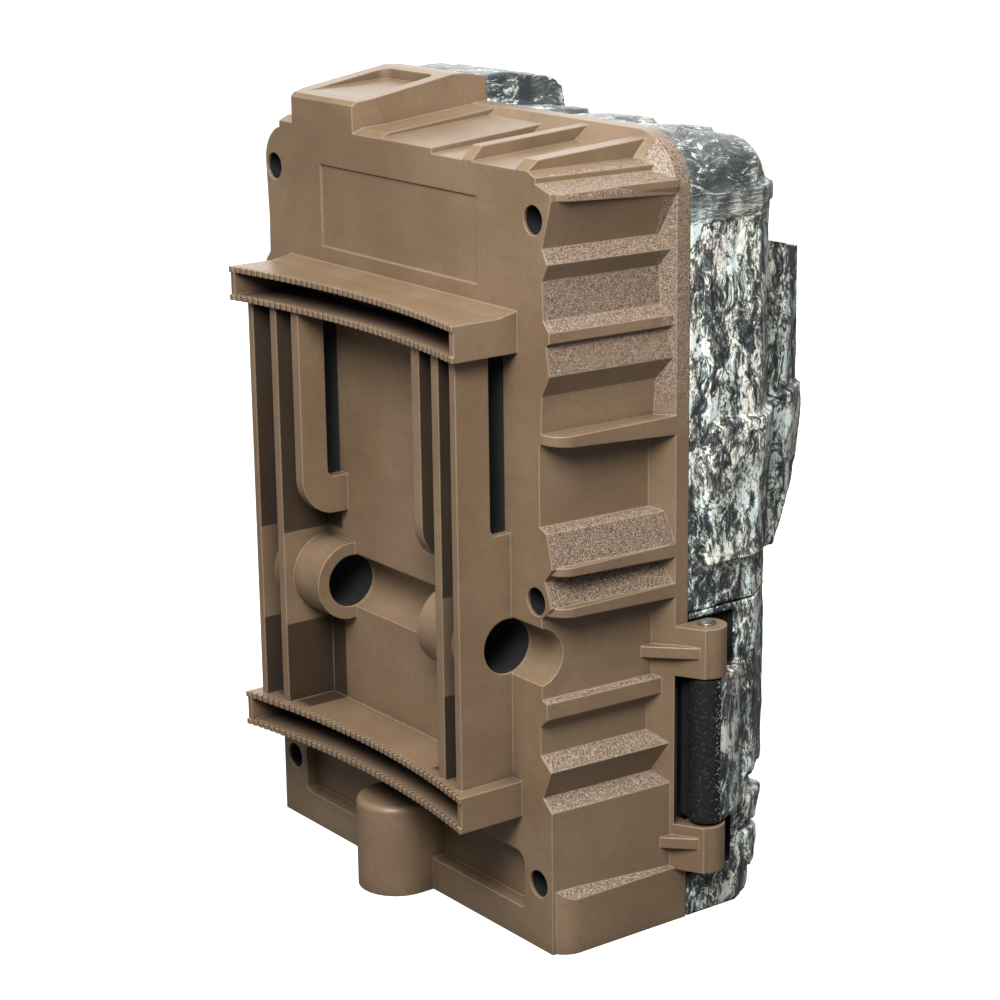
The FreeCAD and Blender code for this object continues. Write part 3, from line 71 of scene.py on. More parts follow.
class Graph:
    """A material's node tree with short calls for its nodes. Noise and cell scales are per metre."""

    def __init__(self, name, **sockets):
        self.material = bpy.data.materials.new(name)
        self.material.use_nodes = True
        self.tree = self.material.node_tree
        self.tree.nodes.clear()
        self.shader = self.tree.nodes.new("ShaderNodeBsdfPrincipled")
        out = self.tree.nodes.new("ShaderNodeOutputMaterial")
        self.tree.links.new(self.shader.outputs[0], out.inputs[0])
        for key, value in sockets.items():
            self.shader.inputs[key.replace("_", " ")].default_value = value

    def make(self, kind, **settings):
        node = self.tree.nodes.new(kind)
        for key, value in settings.items():
            setattr(node, key, value)
        return node

    def put(self, socket, value):
        if isinstance(value, bpy.types.NodeSocket):
            self.tree.links.new(value, socket)
        elif value is not None:
            socket.default_value = value

    def coords(self, kind="Object"):
        return self.make("ShaderNodeTexCoord").outputs[kind]

    def mapped(self, scale):
        """Object coordinates times scale along each axis."""
        node = self.make("ShaderNodeMapping")
        self.put(node.inputs["Vector"], self.coords())
        node.inputs["Scale"].default_value = scale
        return node.outputs[0]

    def noise(self, vector, scale=1.0, detail=3.0, rough=0.5, distortion=0.0, out="Fac"):
        node = self.make("ShaderNodeTexNoise")
        self.put(node.inputs["Vector"], vector)
        node.inputs["Scale"].default_value = scale
        node.inputs["Detail"].default_value = detail
        node.inputs["Roughness"].default_value = rough
        node.inputs["Distortion"].default_value = distortion
        return node.outputs[out]

    def cells(self, vector, scale=1.0, feature="F1", out="Distance"):
        node = self.make("ShaderNodeTexVoronoi", feature=feature)
        self.put(node.inputs["Vector"], vector)
        node.inputs["Scale"].default_value = scale
        return node.outputs[out]

    def math(self, operation, a, b=None, clamp=False):
        node = self.make("ShaderNodeMath", operation=operation, use_clamp=clamp)
        self.put(node.inputs[0], a)
        self.put(node.inputs[1], b)
        return node.outputs[0]

    def product(self, first, *others):
        for other in others:
            first = self.math("MULTIPLY", first, other)
        return first

    def most(self, first, *others):
        for other in others:
            first = self.math("MAXIMUM", first, other)
        return first

    def over(self, value, limit):
        """1 where a length is over limit, in mm, and 0 elsewhere."""
        return self.math("GREATER_THAN", value, limit * MM)

    def under(self, value, limit):
        return self.math("LESS_THAN", value, limit * MM)

    def span(self, value, low, high):
        return self.product(self.over(value, low), self.under(value, high))

    def step(self, value, at, soft, rising=True):
        """0 before at and 1 after it, or the other way round, blended over soft on each side, in mm."""
        first, last = (0.0, 1.0) if rising else (1.0, 0.0)
        return self.ramp(value, (at - soft) * MM, (at + soft) * MM, first, last)

    def distance(self, a, b, place):
        """How far the point (a, b) is from a place in the same plane, given in mm."""
        da = self.math("SUBTRACT", a, place[0] * MM)
        db = self.math("SUBTRACT", b, place[1] * MM)
        return self.math("SQRT", self.math("ADD", self.product(da, da), self.product(db, db)))

    def gloom(self, reach, samples, closed, free):
        """1 in deep gaps no wider than reach, 0 on open faces: where shade is painted into the colour."""
        openness = self.make("ShaderNodeAmbientOcclusion", samples=samples)
        openness.inputs["Distance"].default_value = reach
        return self.ramp(openness.outputs["AO"], closed, free, 1.0, 0.0)

    def ramp(self, fac, low, high, to_low=0.0, to_high=1.0):
        node = self.make("ShaderNodeMapRange", interpolation_type="SMOOTHSTEP")
        self.put(node.inputs["Value"], fac)
        for name, value in (("From Min", low), ("From Max", high), ("To Min", to_low), ("To Max", to_high)):
            node.inputs[name].default_value = value
        return node.outputs[0]

    def mix(self, fac, a, b):
        node = self.make("ShaderNodeMix", data_type="RGBA", blend_type="MIX")
        self.put(node.inputs[0], fac)
        self.put(node.inputs[6], a)
        self.put(node.inputs[7], b)
        return node.outputs[2]

    def split(self, vector):
        node = self.make("ShaderNodeSeparateXYZ")
        self.put(node.inputs[0], vector)
        return node.outputs

    def add(self, a, b):
        node = self.make("ShaderNodeVectorMath", operation="ADD")
        self.put(node.inputs[0], a)
        self.put(node.inputs[1], b)
        return node.outputs[0]

    def times(self, a, factor):
        node = self.make("ShaderNodeVectorMath", operation="SCALE")
        self.put(node.inputs[0], a)
        self.put(node.inputs["Scale"], factor)
        return node.outputs[0]

    def soft_edges(self, radius):
        """Normal that rounds the sharp edges of a moulded piece."""
        node = self.make("ShaderNodeBevel", samples=4)
        node.inputs["Radius"].default_value = radius
        return node.outputs[0]

    def worn_highlit_edges(self, rounded, low=0.93, high=0.995):
        """1 on the sharp outer edges that a rounded normal softens, 0 elsewhere: where pale wear and a
        painted highlight go.
        """
        node = self.make("ShaderNodeVectorMath", operation="DOT_PRODUCT")
        self.put(node.inputs[0], rounded)
        self.put(node.inputs[1], self.make("ShaderNodeNewGeometry").outputs["True Normal"])
        return self.ramp(node.outputs["Value"], low, high, 1.0, 0.0)

    def bump(self, height, distance, strength=1.0, normal=None):
        node = self.make("ShaderNodeBump")
        self.put(node.inputs["Height"], height)
        self.put(node.inputs["Normal"], normal)
        node.inputs["Distance"].default_value = distance
        node.inputs["Strength"].default_value = strength
        return node.outputs[0]

    def set(self, **sockets):
        for key, value in sockets.items():
            self.put(self.shader.inputs[key.replace("_", " ")], value)
        return self.material


# ------------------------------------------------------------------ places on the shells, in mm
SIDE_X = 40.0                  # the grained facets lie outside this
REAR_EDGE_Y = -3.3             # just in front of the rear face
BAND_Z = (113.5, 120.15)       # upright grained facet below the shoulder
RIM_Y = -26.2                  # rear edge of the full-width rim
RIM_GRAIN_Z = ((88.0, 104.0), (131.0, 134.0))    # where the rim's grain fades in and out
SCREW_PLACES = ((39.7, 12.3), (39.7, 64.4), (39.7, 130.0))
SCREW_RECESS_R = 2.58
SCREW_RECESS_Y = -3.6
RIB_GAPS = ((20.3, 24.6), (26.4, 31.0))          # gaps between the bracket's ribs, from the middle
RIB_FOOT_Y = -3.2
RIB_Z = (30.0, 107.2)
SLOT_MOUTH_Y = 1.35
SLOT_Z = (74.9, 107.2)         # strap slots between the ribs
LOCK = (-2.0, 54.7)            # y and z of the cable-lock bores
LOCK_X = 24.3
LOCK_HALF = 7.9
LOCK_R = 5.12
LOCK_BOSS_HALF = 9.0
KNUCKLE_Z = (19.0, 46.7)       # the door's hinge knuckle
WELL_X = -43.8                 # the rear shell's hollow behind the knuckle
WELL_Y = -29.8
BARREL_X = -40.0
BARREL_TOP_Z = 56.7
BARREL_Y = -35.2
POCKET_X = -45.3
POCKET_Y = -42.85
POCKET_LOW_Z = 8.0


# ------------------------------------------------------------------ brown shell
BROWN_DARK = srgb(115, 94, 72)
BROWN_PALE = srgb(129, 108, 85)
BROWN_DEEP = srgb(99, 78, 60)
# pale edges: wear, and a painted highlight on the rounded edges
BROWN_WORN_HIGHLIGHT = srgb(186, 164, 140)
# painted glints on the grained facets
BROWN_GLINT = srgb(214, 198, 180)
GRAIN_DARK = srgb(72, 56, 43)
GRAIN_PALE = srgb(158, 138, 120)
# painted shade: the colour of deep gaps
GAP_SHADE_BROWN = srgb(24, 15, 11)
# painted shade: the walls between the bracket's ribs
RIB_SHADE_BROWN = srgb(26, 17, 12)
# painted shade: the rear shell's hollow behind the knuckle
WELL_SHADE_BROWN = srgb(44, 24, 18)
# painted shade: inside the case-screw recesses
HOLE_SHADE_BLACK = srgb(9, 9, 9)
# painted shade: inside the cable-lock bores
BORE_SHADE_BLACK = srgb(10, 9, 9)
SLOT_BLACK = srgb(13, 13, 15)
SLOT_GREY = srgb(34, 36, 42)


def grained_zone(g, across, y, z, nx, nz):
    """1 on the grained facets of the side walls and along the upper part of the rim."""
    side = g.step(across, SIDE_X, 0.2)
    outward = g.ramp(g.math("ABSOLUTE", nx), 0.2, 0.3)
    upward = g.ramp(nz, 0.1, 0.2)
    band = g.product(g.step(z, BAND_Z[0], 0.1), g.step(z, BAND_Z[1], 0.15, rising=False))
    facet = g.math("MAXIMUM", g.product(upward, side), g.product(band, side))
    facet = g.product(facet, outward, g.step(y, REAR_EDGE_Y, 0.2, rising=False))
    (low, full), (fade, end) = RIM_GRAIN_Z
    rim = g.product(g.under(y, RIM_Y), g.ramp(z, low * MM, full * MM),
                    g.ramp(z, fade * MM, end * MM, 0.85, 0.0))
    return g.math("MAXIMUM", facet, rim)


def rib_gaps(g, across, y, z, nx):
    """Two masks of the gaps between the bracket's ribs: their walls, where shade is painted, and the open
    strap slots.
    """
    shade, slots = 0.0, 0.0
    for low, high in RIB_GAPS:
        shade = g.math("ADD", shade, g.span(across, low - 0.2, high + 0.1))
        slots = g.math("ADD", slots, g.span(across, low, high))
    off_boss = g.over(g.math("ABSOLUTE", g.math("SUBTRACT", z, LOCK[1] * MM)), LOCK_BOSS_HALF)
    wall = g.math("GREATER_THAN", g.math("ABSOLUTE", nx), 0.5)
    deep = g.math("MAXIMUM", g.step(y, 5.6, 0.8, rising=False), wall)
    shade = g.product(shade, off_boss, deep, g.over(y, RIB_FOOT_Y), g.span(z, *RIB_Z))
    slots = g.product(slots, g.span(y, RIB_FOOT_Y, SLOT_MOUTH_Y), g.span(z, *SLOT_Z))
    return shade, slots


def screw_holes(g, across, y, z):
    """1 inside the case-screw recesses."""
    holes = 0.0
    for place in SCREW_PLACES:
        holes = g.math("ADD", holes, g.under(g.distance(across, z, place), SCREW_RECESS_R))
    return g.product(holes, g.under(y, SCREW_RECESS_Y))


def lock_bores(g, across, y, z):
    """1 inside the two cable-lock bores."""
    off_middle = g.math("ABSOLUTE", g.math("SUBTRACT", across, LOCK_X * MM))
    return g.product(g.under(g.distance(y, z, LOCK), LOCK_R), g.under(off_middle, LOCK_HALF))


def brown_plastic():
    """Moulded tan-brown plastic: satin walls, a fine sparkling grain with painted glints on the side
    facets, painted shade in deep gaps, holes and hollows, pale edges of wear and painted highlight.
    """
    g = Graph("brown_plastic", Specular_IOR_Level=0.5)
    place = g.coords()
    x, y, z = g.split(place)
    nx, _, nz = g.split(g.coords("Normal"))
    across = g.math("ABSOLUTE", x)

    haze = g.noise(place, 55.0, 3.0)
    mould = g.noise(place, 900.0, 2.0)
    flow = g.noise(g.mapped((60, 60, 420)), 1.0, 3.0, 0.55)
    base = g.mix(g.ramp(haze, 0.3, 0.75), BROWN_DARK, BROWN_PALE)
    base = g.mix(g.product(g.ramp(mould, 0.35, 0.75), 0.22), base, BROWN_DEEP)
    base = g.mix(g.product(g.ramp(flow, 0.5, 0.75), 0.18), base, BROWN_DEEP)

    grain_on = grained_zone(g, across, y, z, nx, nz)
    spark = g.split(g.cells(place, 6400.0, out="Color"))
    grit = g.noise(place, 2300.0, 2.0, 0.6)
    speckle = g.math("ADD", g.product(spark[0], 0.7), g.product(grit, 0.3))
    grained = g.mix(g.ramp(speckle, 0.2, 0.85), GRAIN_DARK, GRAIN_PALE)
    base = g.mix(g.product(grain_on, 0.85), base, grained)
    # Painted glints: bright specks on the grained facets.
    glint = g.product(g.ramp(spark[1], 0.93, 0.98), grain_on)
    base = g.mix(g.product(glint, 0.5), base, BROWN_GLINT)

    # Painted shade: deep gaps that ambient occlusion finds are darkened towards near-black brown.
    gloom = g.gloom(9 * MM, 6, 0.08, 0.62)
    base = g.mix(g.product(gloom, 0.93), base, GAP_SHADE_BROWN)
    shade, slots = rib_gaps(g, across, y, z, nx)
    # Painted shade on the walls between the bracket's ribs.
    base = g.mix(g.product(shade, 0.8), base, RIB_SHADE_BROWN)
    base = g.mix(slots, base, g.mix(g.ramp(spark[2], 0.75, 0.95), SLOT_BLACK, SLOT_GREY))
    # Painted shade: the case-screw recesses turn near-black.
    base = g.mix(screw_holes(g, across, y, z), base, HOLE_SHADE_BLACK)
    # Painted shade: the cable-lock bores turn near-black.
    bores = lock_bores(g, across, y, z)
    base = g.mix(bores, base, BORE_SHADE_BLACK)
    # Painted shade in the hollow behind the door's knuckle.
    well = g.product(g.under(x, WELL_X), g.under(y, WELL_Y), g.span(z, *KNUCKLE_Z))
    base = g.mix(well, base, WELL_SHADE_BROWN)

    rounded = g.soft_edges(0.35 * MM)
    # Pale edges: wear and a painted highlight, kept out of the painted gap shade.
    worn_highlight = g.product(g.worn_highlit_edges(rounded), g.math("SUBTRACT", 1.0, gloom))
    base = g.mix(g.product(worn_highlight, 0.5), base, BROWN_WORN_HIGHLIGHT)
    dark = g.most(gloom, slots, bores, well)
    rough = g.math("ADD", g.ramp(haze, 0.2, 0.8, 0.36, 0.46), g.product(grain_on, 0.08))
    rough = g.math("ADD", rough, g.product(dark, 0.5), clamp=True)
    normal = g.bump(g.noise(place, 2600.0, 2.0), 0.02 * MM, 0.35, rounded)
    normal = g.bump(g.product(g.math("ADD", spark[2], grit), grain_on), 0.07 * MM, 0.7, normal)
    return g.set(Base_Color=base, Roughness=rough, Normal=normal)


# ------------------------------------------------------------------ camouflage film
SLATE = (srgb(66, 70, 73), srgb(84, 84, 86))
OLIVE = (srgb(104, 104, 88), srgb(112, 122, 118))
SAGE = (srgb(150, 164, 157), srgb(170, 168, 150))
PALE = (srgb(220, 234, 230), srgb(240, 240, 226))
CROWN = (srgb(66, 72, 76), srgb(96, 102, 100))
BARE = (srgb(22, 22, 23), srgb(31, 31, 32))       # plastic under the film
BARREL = (srgb(7, 7, 8), srgb(170, 180, 178))
DEEP_SLATE = srgb(38, 43, 45)
RUSSET = srgb(128, 112, 104)
PINK_GREY = srgb(172, 154, 146)
# bare plastic darkened with painted shade, for the gap by the door's knuckle
POCKET_BARE_AND_SHADE = srgb(6, 6, 7)
# painted shade: the colour of deep gaps in the film
GAP_SHADE_SLATE = srgb(10, 11, 12)
PAD_HALF = 30.0                # raised pad on the door's front
PAD_Z = (18.5, 48.5)
SLOPE_Z = 17.0                 # the door's front leans in below this
DOOR_INSIDE_X = 44.4
DOOR_INSIDE_Z = (0.9, 57.1)


def door_inside(g, x, y, z, nx, ny):
    """1 deeper than the middle of the battery door's wall, where the film doesn't reach."""
    across = g.math("ABSOLUTE", x)
    ahead = g.product(y, -1.0)
    pad = g.product(g.under(across, PAD_HALF), g.span(z, *PAD_Z))
    lean = g.product(g.math("MINIMUM", z, SLOPE_Z * MM), 0.17)
    wall = g.math("ADD", lean, g.product(g.over(z, SLOPE_Z + 0.2), 1.6 * MM))
    wall = g.math("ADD", g.math("ADD", wall, 48.2 * MM), g.product(pad, 2.2 * MM))
    chamfer = g.math("ADD", g.product(across, 0.806), g.product(ahead, 0.592))
    outward = g.product(g.math("SIGN", x), nx)
    return g.product(g.math("LESS_THAN", ahead, wall), g.under(chamfer, 63.8),
                     g.under(across, DOOR_INSIDE_X), g.span(z, *DOOR_INSIDE_Z),
                     g.math("LESS_THAN", outward, 0.25), g.math("GREATER_THAN", ny, -0.25))


def bark_grain(g, z, nz):
    """Coordinates that stretch the flakes upright on the walls and level on the crown."""
    level_on = g.math("MAXIMUM", g.product(g.ramp(nz, 0.35, 0.6), g.ramp(z, 112 * MM, 118 * MM)),
                      g.ramp(z, 126.5 * MM, 132.5 * MM))
    swirl = g.times(g.noise(g.mapped((150, 150, 110)), 1.0, 2.0, 0.5, out="Color"), 4.2)
    mixed = g.make("ShaderNodeMix", data_type="VECTOR")
    g.put(mixed.inputs[0], level_on)
    g.put(mixed.inputs[4], g.add(g.mapped((860, 860, 430)), swirl))
    g.put(mixed.inputs[5], g.add(g.mapped((900, 230, 1100)), swirl))
    return mixed.outputs[1]


def bark_light(g, grain, wisps, z):
    """How light the film is, from about 0.3 to 0.7: blobs, flakes, wisps and patches, cut by dark veins."""
    def centred(value, factor):
        return g.product(g.math("SUBTRACT", value, 0.5), factor)

    light = g.noise(grain, 0.55, 3.0, 0.55, 0.8)
    flakes = g.noise(grain, 1.35, 4.0, 0.62, 1.2)
    patches = g.noise(g.mapped((120, 120, 80)), 1.0, 3.0, 0.6, 0.8)
    veins = g.math("ABSOLUTE", g.math("SUBTRACT", g.noise(grain, 1.1, 3.0, 0.6, 1.8), 0.5))
    for layer in (centred(flakes, 0.95), centred(wisps, 0.55), centred(patches, 0.8)):
        light = g.math("ADD", light, layer)
    for layer in (g.product(g.ramp(z, 126.8 * MM, 130.0 * MM), 0.09),
                  g.product(g.ramp(veins, 0.01, 0.045, 1.0, 0.0), 0.12)):
        light = g.math("SUBTRACT", light, layer)
    return light


def bark_colour(g, light, wisps, tint, z):
    """Slate, olive, sage and pale flakes by lightness, calmer and greyer on the crown."""
    slate = g.mix(g.ramp(tint[1], 0.4, 0.6), *SLATE)
    olive = g.mix(g.ramp(tint[0], 0.4, 0.6), *OLIVE)
    olive = g.mix(g.ramp(tint[2], 0.54, 0.64), olive, RUSSET)
    sage = g.mix(g.ramp(tint[0], 0.42, 0.58), *SAGE)
    sage = g.mix(g.ramp(tint[2], 0.57, 0.67), sage, PINK_GREY)
    pale = g.mix(g.ramp(tint[1], 0.42, 0.56), *PALE)
    base = g.mix(g.ramp(light, 0.39, 0.28), slate, DEEP_SLATE)
    base = g.mix(g.ramp(light, 0.43, 0.48), base, olive)
    base = g.mix(g.ramp(light, 0.48, 0.53), base, sage)
    base = g.mix(g.ramp(light, 0.535, 0.61), base, pale)
    crown = g.product(g.ramp(z, 125.5 * MM, 132.5 * MM), g.ramp(wisps, 0.62, 0.52))
    return g.mix(g.product(crown, 0.5), base, g.mix(g.ramp(tint[1], 0.4, 0.6), *CROWN))


def camo_plastic():
    """Film-printed bark camouflage: clusters of pale wispy flakes over slate, upright on the sides."""
    g = Graph("camo_plastic", Specular_IOR_Level=0.45)
    place = g.coords()
    x, y, z = g.split(place)
    nx, ny, nz = g.split(g.coords("Normal"))
    grain = bark_grain(g, z, nz)
    wisps = g.noise(grain, 3.0, 3.0, 0.6, 0.8)
    light = bark_light(g, grain, wisps, z)
    tint = g.split(g.noise(g.mapped((210, 210, 120)), 1.0, 2.0, 0.5, out="Color"))
    base = bark_colour(g, light, wisps, tint, z)

    hinge = g.product(g.under(x, BARREL_X), g.under(z, BARREL_TOP_Z))
    barrel = g.product(hinge, g.span(z, *KNUCKLE_Z), g.over(y, BARREL_Y))
    speck = g.split(g.cells(place, 3600.0, out="Color"))[0]
    speck_on = g.product(g.ramp(speck, 0.8, 0.96), g.ramp(y, -33.4 * MM, BARREL_Y * MM, 0.06, 1.0))
    base = g.mix(barrel, base, g.mix(speck_on, *BARREL))
    # Near-black in the pocket by the knuckle: bare plastic with painted shade.
    pocket = g.product(hinge, g.over(x, POCKET_X), g.over(y, POCKET_Y), g.over(z, POCKET_LOW_Z))
    base = g.mix(pocket, base, POCKET_BARE_AND_SHADE)
    bare = g.mix(g.ramp(tint[0], 0.35, 0.65), *BARE)
    base = g.mix(door_inside(g, x, y, z, nx, ny), base, bare)
    # Painted shade: deep gaps in the film are darkened towards near-black slate.
    gloom = g.gloom(5 * MM, 4, 0.1, 0.55)
    base = g.mix(g.product(gloom, 0.9), base, GAP_SHADE_SLATE)

    dark = g.most(gloom, pocket, g.product(barrel, 0.6))
    rough = g.math("ADD", g.ramp(light, 0.4, 0.7, 0.36, 0.46), g.product(dark, 0.5), clamp=True)
    normal = g.bump(light, 0.08 * MM, 0.5, g.soft_edges(0.25 * MM))
    normal = g.bump(g.noise(place, 1500.0, 3.0), 0.03 * MM, 0.4, normal)
    return g.set(Base_Color=base, Roughness=rough, Normal=normal)


# ------------------------------------------------------------------ other materials
def plain_plastic(name, dark, pale, rough=0.45, grain=0.04):
    """Moulded plastic with a fine spark-eroded grain, grain mm deep, and slight handling marks."""
    g = Graph(name, Specular_IOR_Level=0.5)
    place = g.coords()
    marks = g.noise(place, 140.0, 4.0, 0.6)
    grit = g.noise(place, 1900.0, 3.0, 0.6)
    base = g.mix(g.ramp(marks, 0.3, 0.75), dark, pale)
    base = g.mix(g.math("MULTIPLY", g.ramp(grit, 0.45, 0.8), 0.35), base, pale)
    normal = g.bump(grit, grain * MM, 0.6, g.soft_edges(0.25 * MM))
    rough = g.ramp(marks, 0.2, 0.8, rough - 0.07, rough + 0.08)
    return g.set(Base_Color=base, Roughness=rough, Normal=normal)


def rubber(name, dark, pale):
    """Dull rubber with a thin coat of dust."""
    g = Graph(name, Specular_IOR_Level=0.3, Sheen_Weight=0.15, Sheen_Roughness=0.5)
    place = g.coords()
    dust = g.noise(place, 260.0, 5.0, 0.7)
    base = g.mix(g.ramp(dust, 0.45, 0.8), dark, pale)
    normal = g.bump(g.noise(place, 2400.0, 3.0), 0.03 * MM, 0.7, g.soft_edges(0.3 * MM))
    return g.set(Base_Color=base, Roughness=g.ramp(dust, 0.3, 0.7, 0.62, 0.8), Normal=normal)


def metal(name, colour, stretch, rough=0.3):
    """Metal with fine drawn or turned lines; stretch says how the lines run."""
    g = Graph(name, Metallic=1.0)
    lines = g.noise(g.mapped(stretch), 1.0, 4.0, 0.65)
    stain = g.noise(g.coords(), 180.0, 4.0, 0.6)
    darker = tuple(c * 0.72 for c in colour[:3]) + (1.0,)
    base = g.mix(g.ramp(lines, 0.3, 0.75), darker, colour)
    base = g.mix(g.math("MULTIPLY", g.ramp(stain, 0.55, 0.8), 0.3), base, darker)
    normal = g.bump(lines, 0.02 * MM, 0.5, g.soft_edges(0.15 * MM))
    rough = g.ramp(lines, 0.2, 0.8, rough - 0.08, rough + 0.14)
    return g.set(Base_Color=base, Roughness=rough, Normal=normal)


def coated_glass():
    """Clear lens glass with a faint tint and light smears."""
    g = Graph("coated_glass", Transmission_Weight=1.0, IOR=1.46, Coat_Weight=0.6, Coat_Roughness=0.02)
    smear = g.noise(g.coords(), 160.0, 4.0, 0.6)
    base = g.mix(g.ramp(smear, 0.3, 0.7), srgb(222, 236, 240), srgb(236, 228, 246))
    return g.set(Base_Color=base, Roughness=g.ramp(smear, 0.45, 0.9, 0.0, 0.05))


def dark_filter():
    """Near-black filter plastic that lets a little of what is behind show through."""
    g = Graph("dark_filter", Transmission_Weight=0.75, IOR=1.49, Coat_Weight=0.5, Coat_Roughness=0.03)
    smear = g.noise(g.coords(), 120.0, 4.0, 0.6)
    base = g.mix(g.ramp(smear, 0.3, 0.7), srgb(64, 14, 22), srgb(44.8, 9.8, 15.4))
    return g.set(Base_Color=base, Roughness=g.ramp(smear, 0.5, 0.9, 0.03, 0.1))


def sensor_plastic():
    """Milky lens plastic with rows of small moulded lens cells."""
    g = Graph("sensor_plastic", Subsurface_Weight=0.25, Subsurface_Scale=0.002, IOR=1.5)
    cell = g.cells(g.mapped((1, 0, 1)), 420.0)
    rings = g.math("SINE", g.product(cell, 60.0))
    speck = g.noise(g.coords(), 700.0, 3.0)
    base = g.mix(g.ramp(speck, 0.35, 0.7), srgb(206, 208, 200), srgb(226, 226, 216))
    height = g.math("ADD", g.product(cell, 3.0), g.product(rings, 0.15))
    return g.set(Base_Color=base, Roughness=g.ramp(speck, 0.3, 0.7, 0.28, 0.4),
                 Normal=g.bump(height, 0.25 * MM, 0.6))


def circuit_board():
    """Solder mask with copper traces under it and small gold pads."""
    g = Graph("circuit_board", Coat_Weight=0.35, Coat_Roughness=0.2)
    flat = g.mapped((1, 0, 1))
    route = g.cells(flat, 330.0, "DISTANCE_TO_EDGE")
    trace = g.ramp(route, 0.05, 0.08, 1.0, 0.0)
    dots = g.cells(flat, 520.0)
    pick = g.split(g.cells(flat, 520.0, out="Color"))[0]
    pad = g.product(g.ramp(dots, 0.22, 0.26, 1.0, 0.0), g.ramp(pick, 0.6, 0.62))
    base = g.mix(trace, srgb(10, 74, 44), srgb(22, 104, 62))
    base = g.mix(pad, base, srgb(214, 178, 96))
    height = g.math("ADD", g.product(trace, 0.4), g.product(pad, 0.8))
    return g.set(Base_Color=base, Metallic=g.product(pad, 0.9), Roughness=g.ramp(dots, 0.1, 0.6, 0.3, 0.42),
                 Normal=g.bump(height, 0.06 * MM, 0.7))


def lamp_epoxy():
    """Cast clear resin of the lamps."""
    g = Graph("lamp_epoxy", Transmission_Weight=0.7, IOR=1.53)
    flow = g.noise(g.coords(), 500.0, 3.0)
    base = g.mix(g.ramp(flow, 0.3, 0.7), srgb(196, 202, 214), srgb(224, 228, 232))
    return g.set(Base_Color=base, Roughness=g.ramp(flow, 0.3, 0.7, 0.04, 0.14))


def cell_jacket():
    """Battery wrap: dark body with a copper-coloured shoulder, plain metal at both ends."""
    g = Graph("cell_jacket")
    low, high = (v.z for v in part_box("batteries"))
    _, _, z = g.split(g.coords())
    height = g.math("DIVIDE", g.math("SUBTRACT", z, low), high - low)
    wear = g.noise(g.coords(), 300.0, 4.0, 0.6)
    shoulder = g.ramp(height, 0.66, 0.665)
    ends = g.math("MAXIMUM", g.ramp(height, 0.967, 0.97), g.ramp(height, 0.033, 0.03))
    base = g.mix(g.ramp(wear, 0.3, 0.8), srgb(30, 32, 36), srgb(48, 50, 54))
    base = g.mix(shoulder, base, g.mix(g.ramp(wear, 0.3, 0.7), srgb(166, 104, 52), srgb(190, 128, 70)))
    base = g.mix(ends, base, srgb(196, 196, 194))
    metallic = g.most(g.product(shoulder, 0.7), ends)
    return g.set(Base_Color=base, Metallic=metallic, Roughness=g.ramp(wear, 0.3, 0.7, 0.25, 0.38),
                 Normal=g.bump(wear, 0.03 * MM, 0.3))


def display_glass():
    """Cover window: black printed frame round a dark grey-blue screen."""
    g = Graph("display_glass", Coat_Weight=1.0, Coat_Roughness=0.02, Specular_IOR_Level=0.6)
    lo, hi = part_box("display_window")
    mid = (lo + hi) / 2
    x, _, z = g.split(g.coords())
    across = g.math("DIVIDE", g.math("ABSOLUTE", g.math("SUBTRACT", x, mid.x)), (hi.x - lo.x) / 2)
    up = g.math("DIVIDE", g.math("ABSOLUTE", g.math("SUBTRACT", z, mid.z)), (hi.z - lo.z) / 2)
    frame_on = g.ramp(g.most(across, up), 0.80, 0.81)
    smear = g.noise(g.coords(), 200.0, 4.0, 0.6)
    screen = g.mix(g.ramp(smear, 0.3, 0.8), srgb(40, 48, 56), srgb(52, 60, 68))
    base = g.mix(frame_on, screen, srgb(9, 9, 10))
    return g.set(Base_Color=base, Roughness=g.ramp(smear, 0.4, 0.9, 0.06, 0.16))


FINISH = {
    "brown_plastic": brown_plastic(),
    "camo_plastic": camo_plastic(),
    "black_plastic": plain_plastic("black_plastic", srgb(22, 22, 23), srgb(34, 34, 35)),
    "black_metal": plain_plastic("black_metal", srgb(16, 16, 18), srgb(28, 28, 31), 0.32, 0.02),
    "seal_rubber": rubber("seal_rubber", srgb(40, 40, 41), srgb(58, 58, 58)),
    "button_rubber": rubber("button_rubber", srgb(58, 59, 62), srgb(76, 77, 80)),
    "cover_rubber": rubber("cover_rubber", srgb(78, 66, 54), srgb(96, 82, 68)),
    "key_plastic": plain_plastic("key_plastic", srgb(170, 92, 34), srgb(192, 110, 48), 0.4),
    "steel": metal("steel", srgb(196, 194, 190), (400, 400, 3000)),
    "plated_steel": metal("plated_steel", srgb(206, 204, 196), (2400, 900, 500), 0.34),
    "brass": metal("brass", srgb(204, 168, 98), (500, 500, 2600)),
    "clear_glass": coated_glass(),
    "dark_filter": dark_filter(),
    "sensor_plastic": sensor_plastic(),
    "circuit_board": circuit_board(),
    "chip": plain_plastic("chip", srgb(30, 31, 34), srgb(44, 45, 48), 0.35, 0.02),
    "lamp_epoxy": lamp_epoxy(),
    "card_plastic": plain_plastic("card_plastic", srgb(22, 34, 66), srgb(34, 48, 84), 0.4),
    "cell_jacket": cell_jacket(),
    "display_glass": display_glass(),
}


def dress(obj, material):
    obj.data.materials.clear()
    obj.data.materials.append(material)


slot_of = {s["node"]: s["material_slot"] for s in frame["record"]["subparts"]}
for name, node in nodes.items():
    dress(node, FINISH[slot_of[name]])
dress(nodes["display_window"], FINISH["display_glass"])
dress(nodes["case_screws"], FINISH["black_metal"])


# ------------------------------------------------------------------ noise and remeshing for the bark relief
LATTICE_SIZE = 48
LATTICE = np.random.RandomState(11).rand(LATTICE_SIZE, LATTICE_SIZE, LATTICE_SIZE)


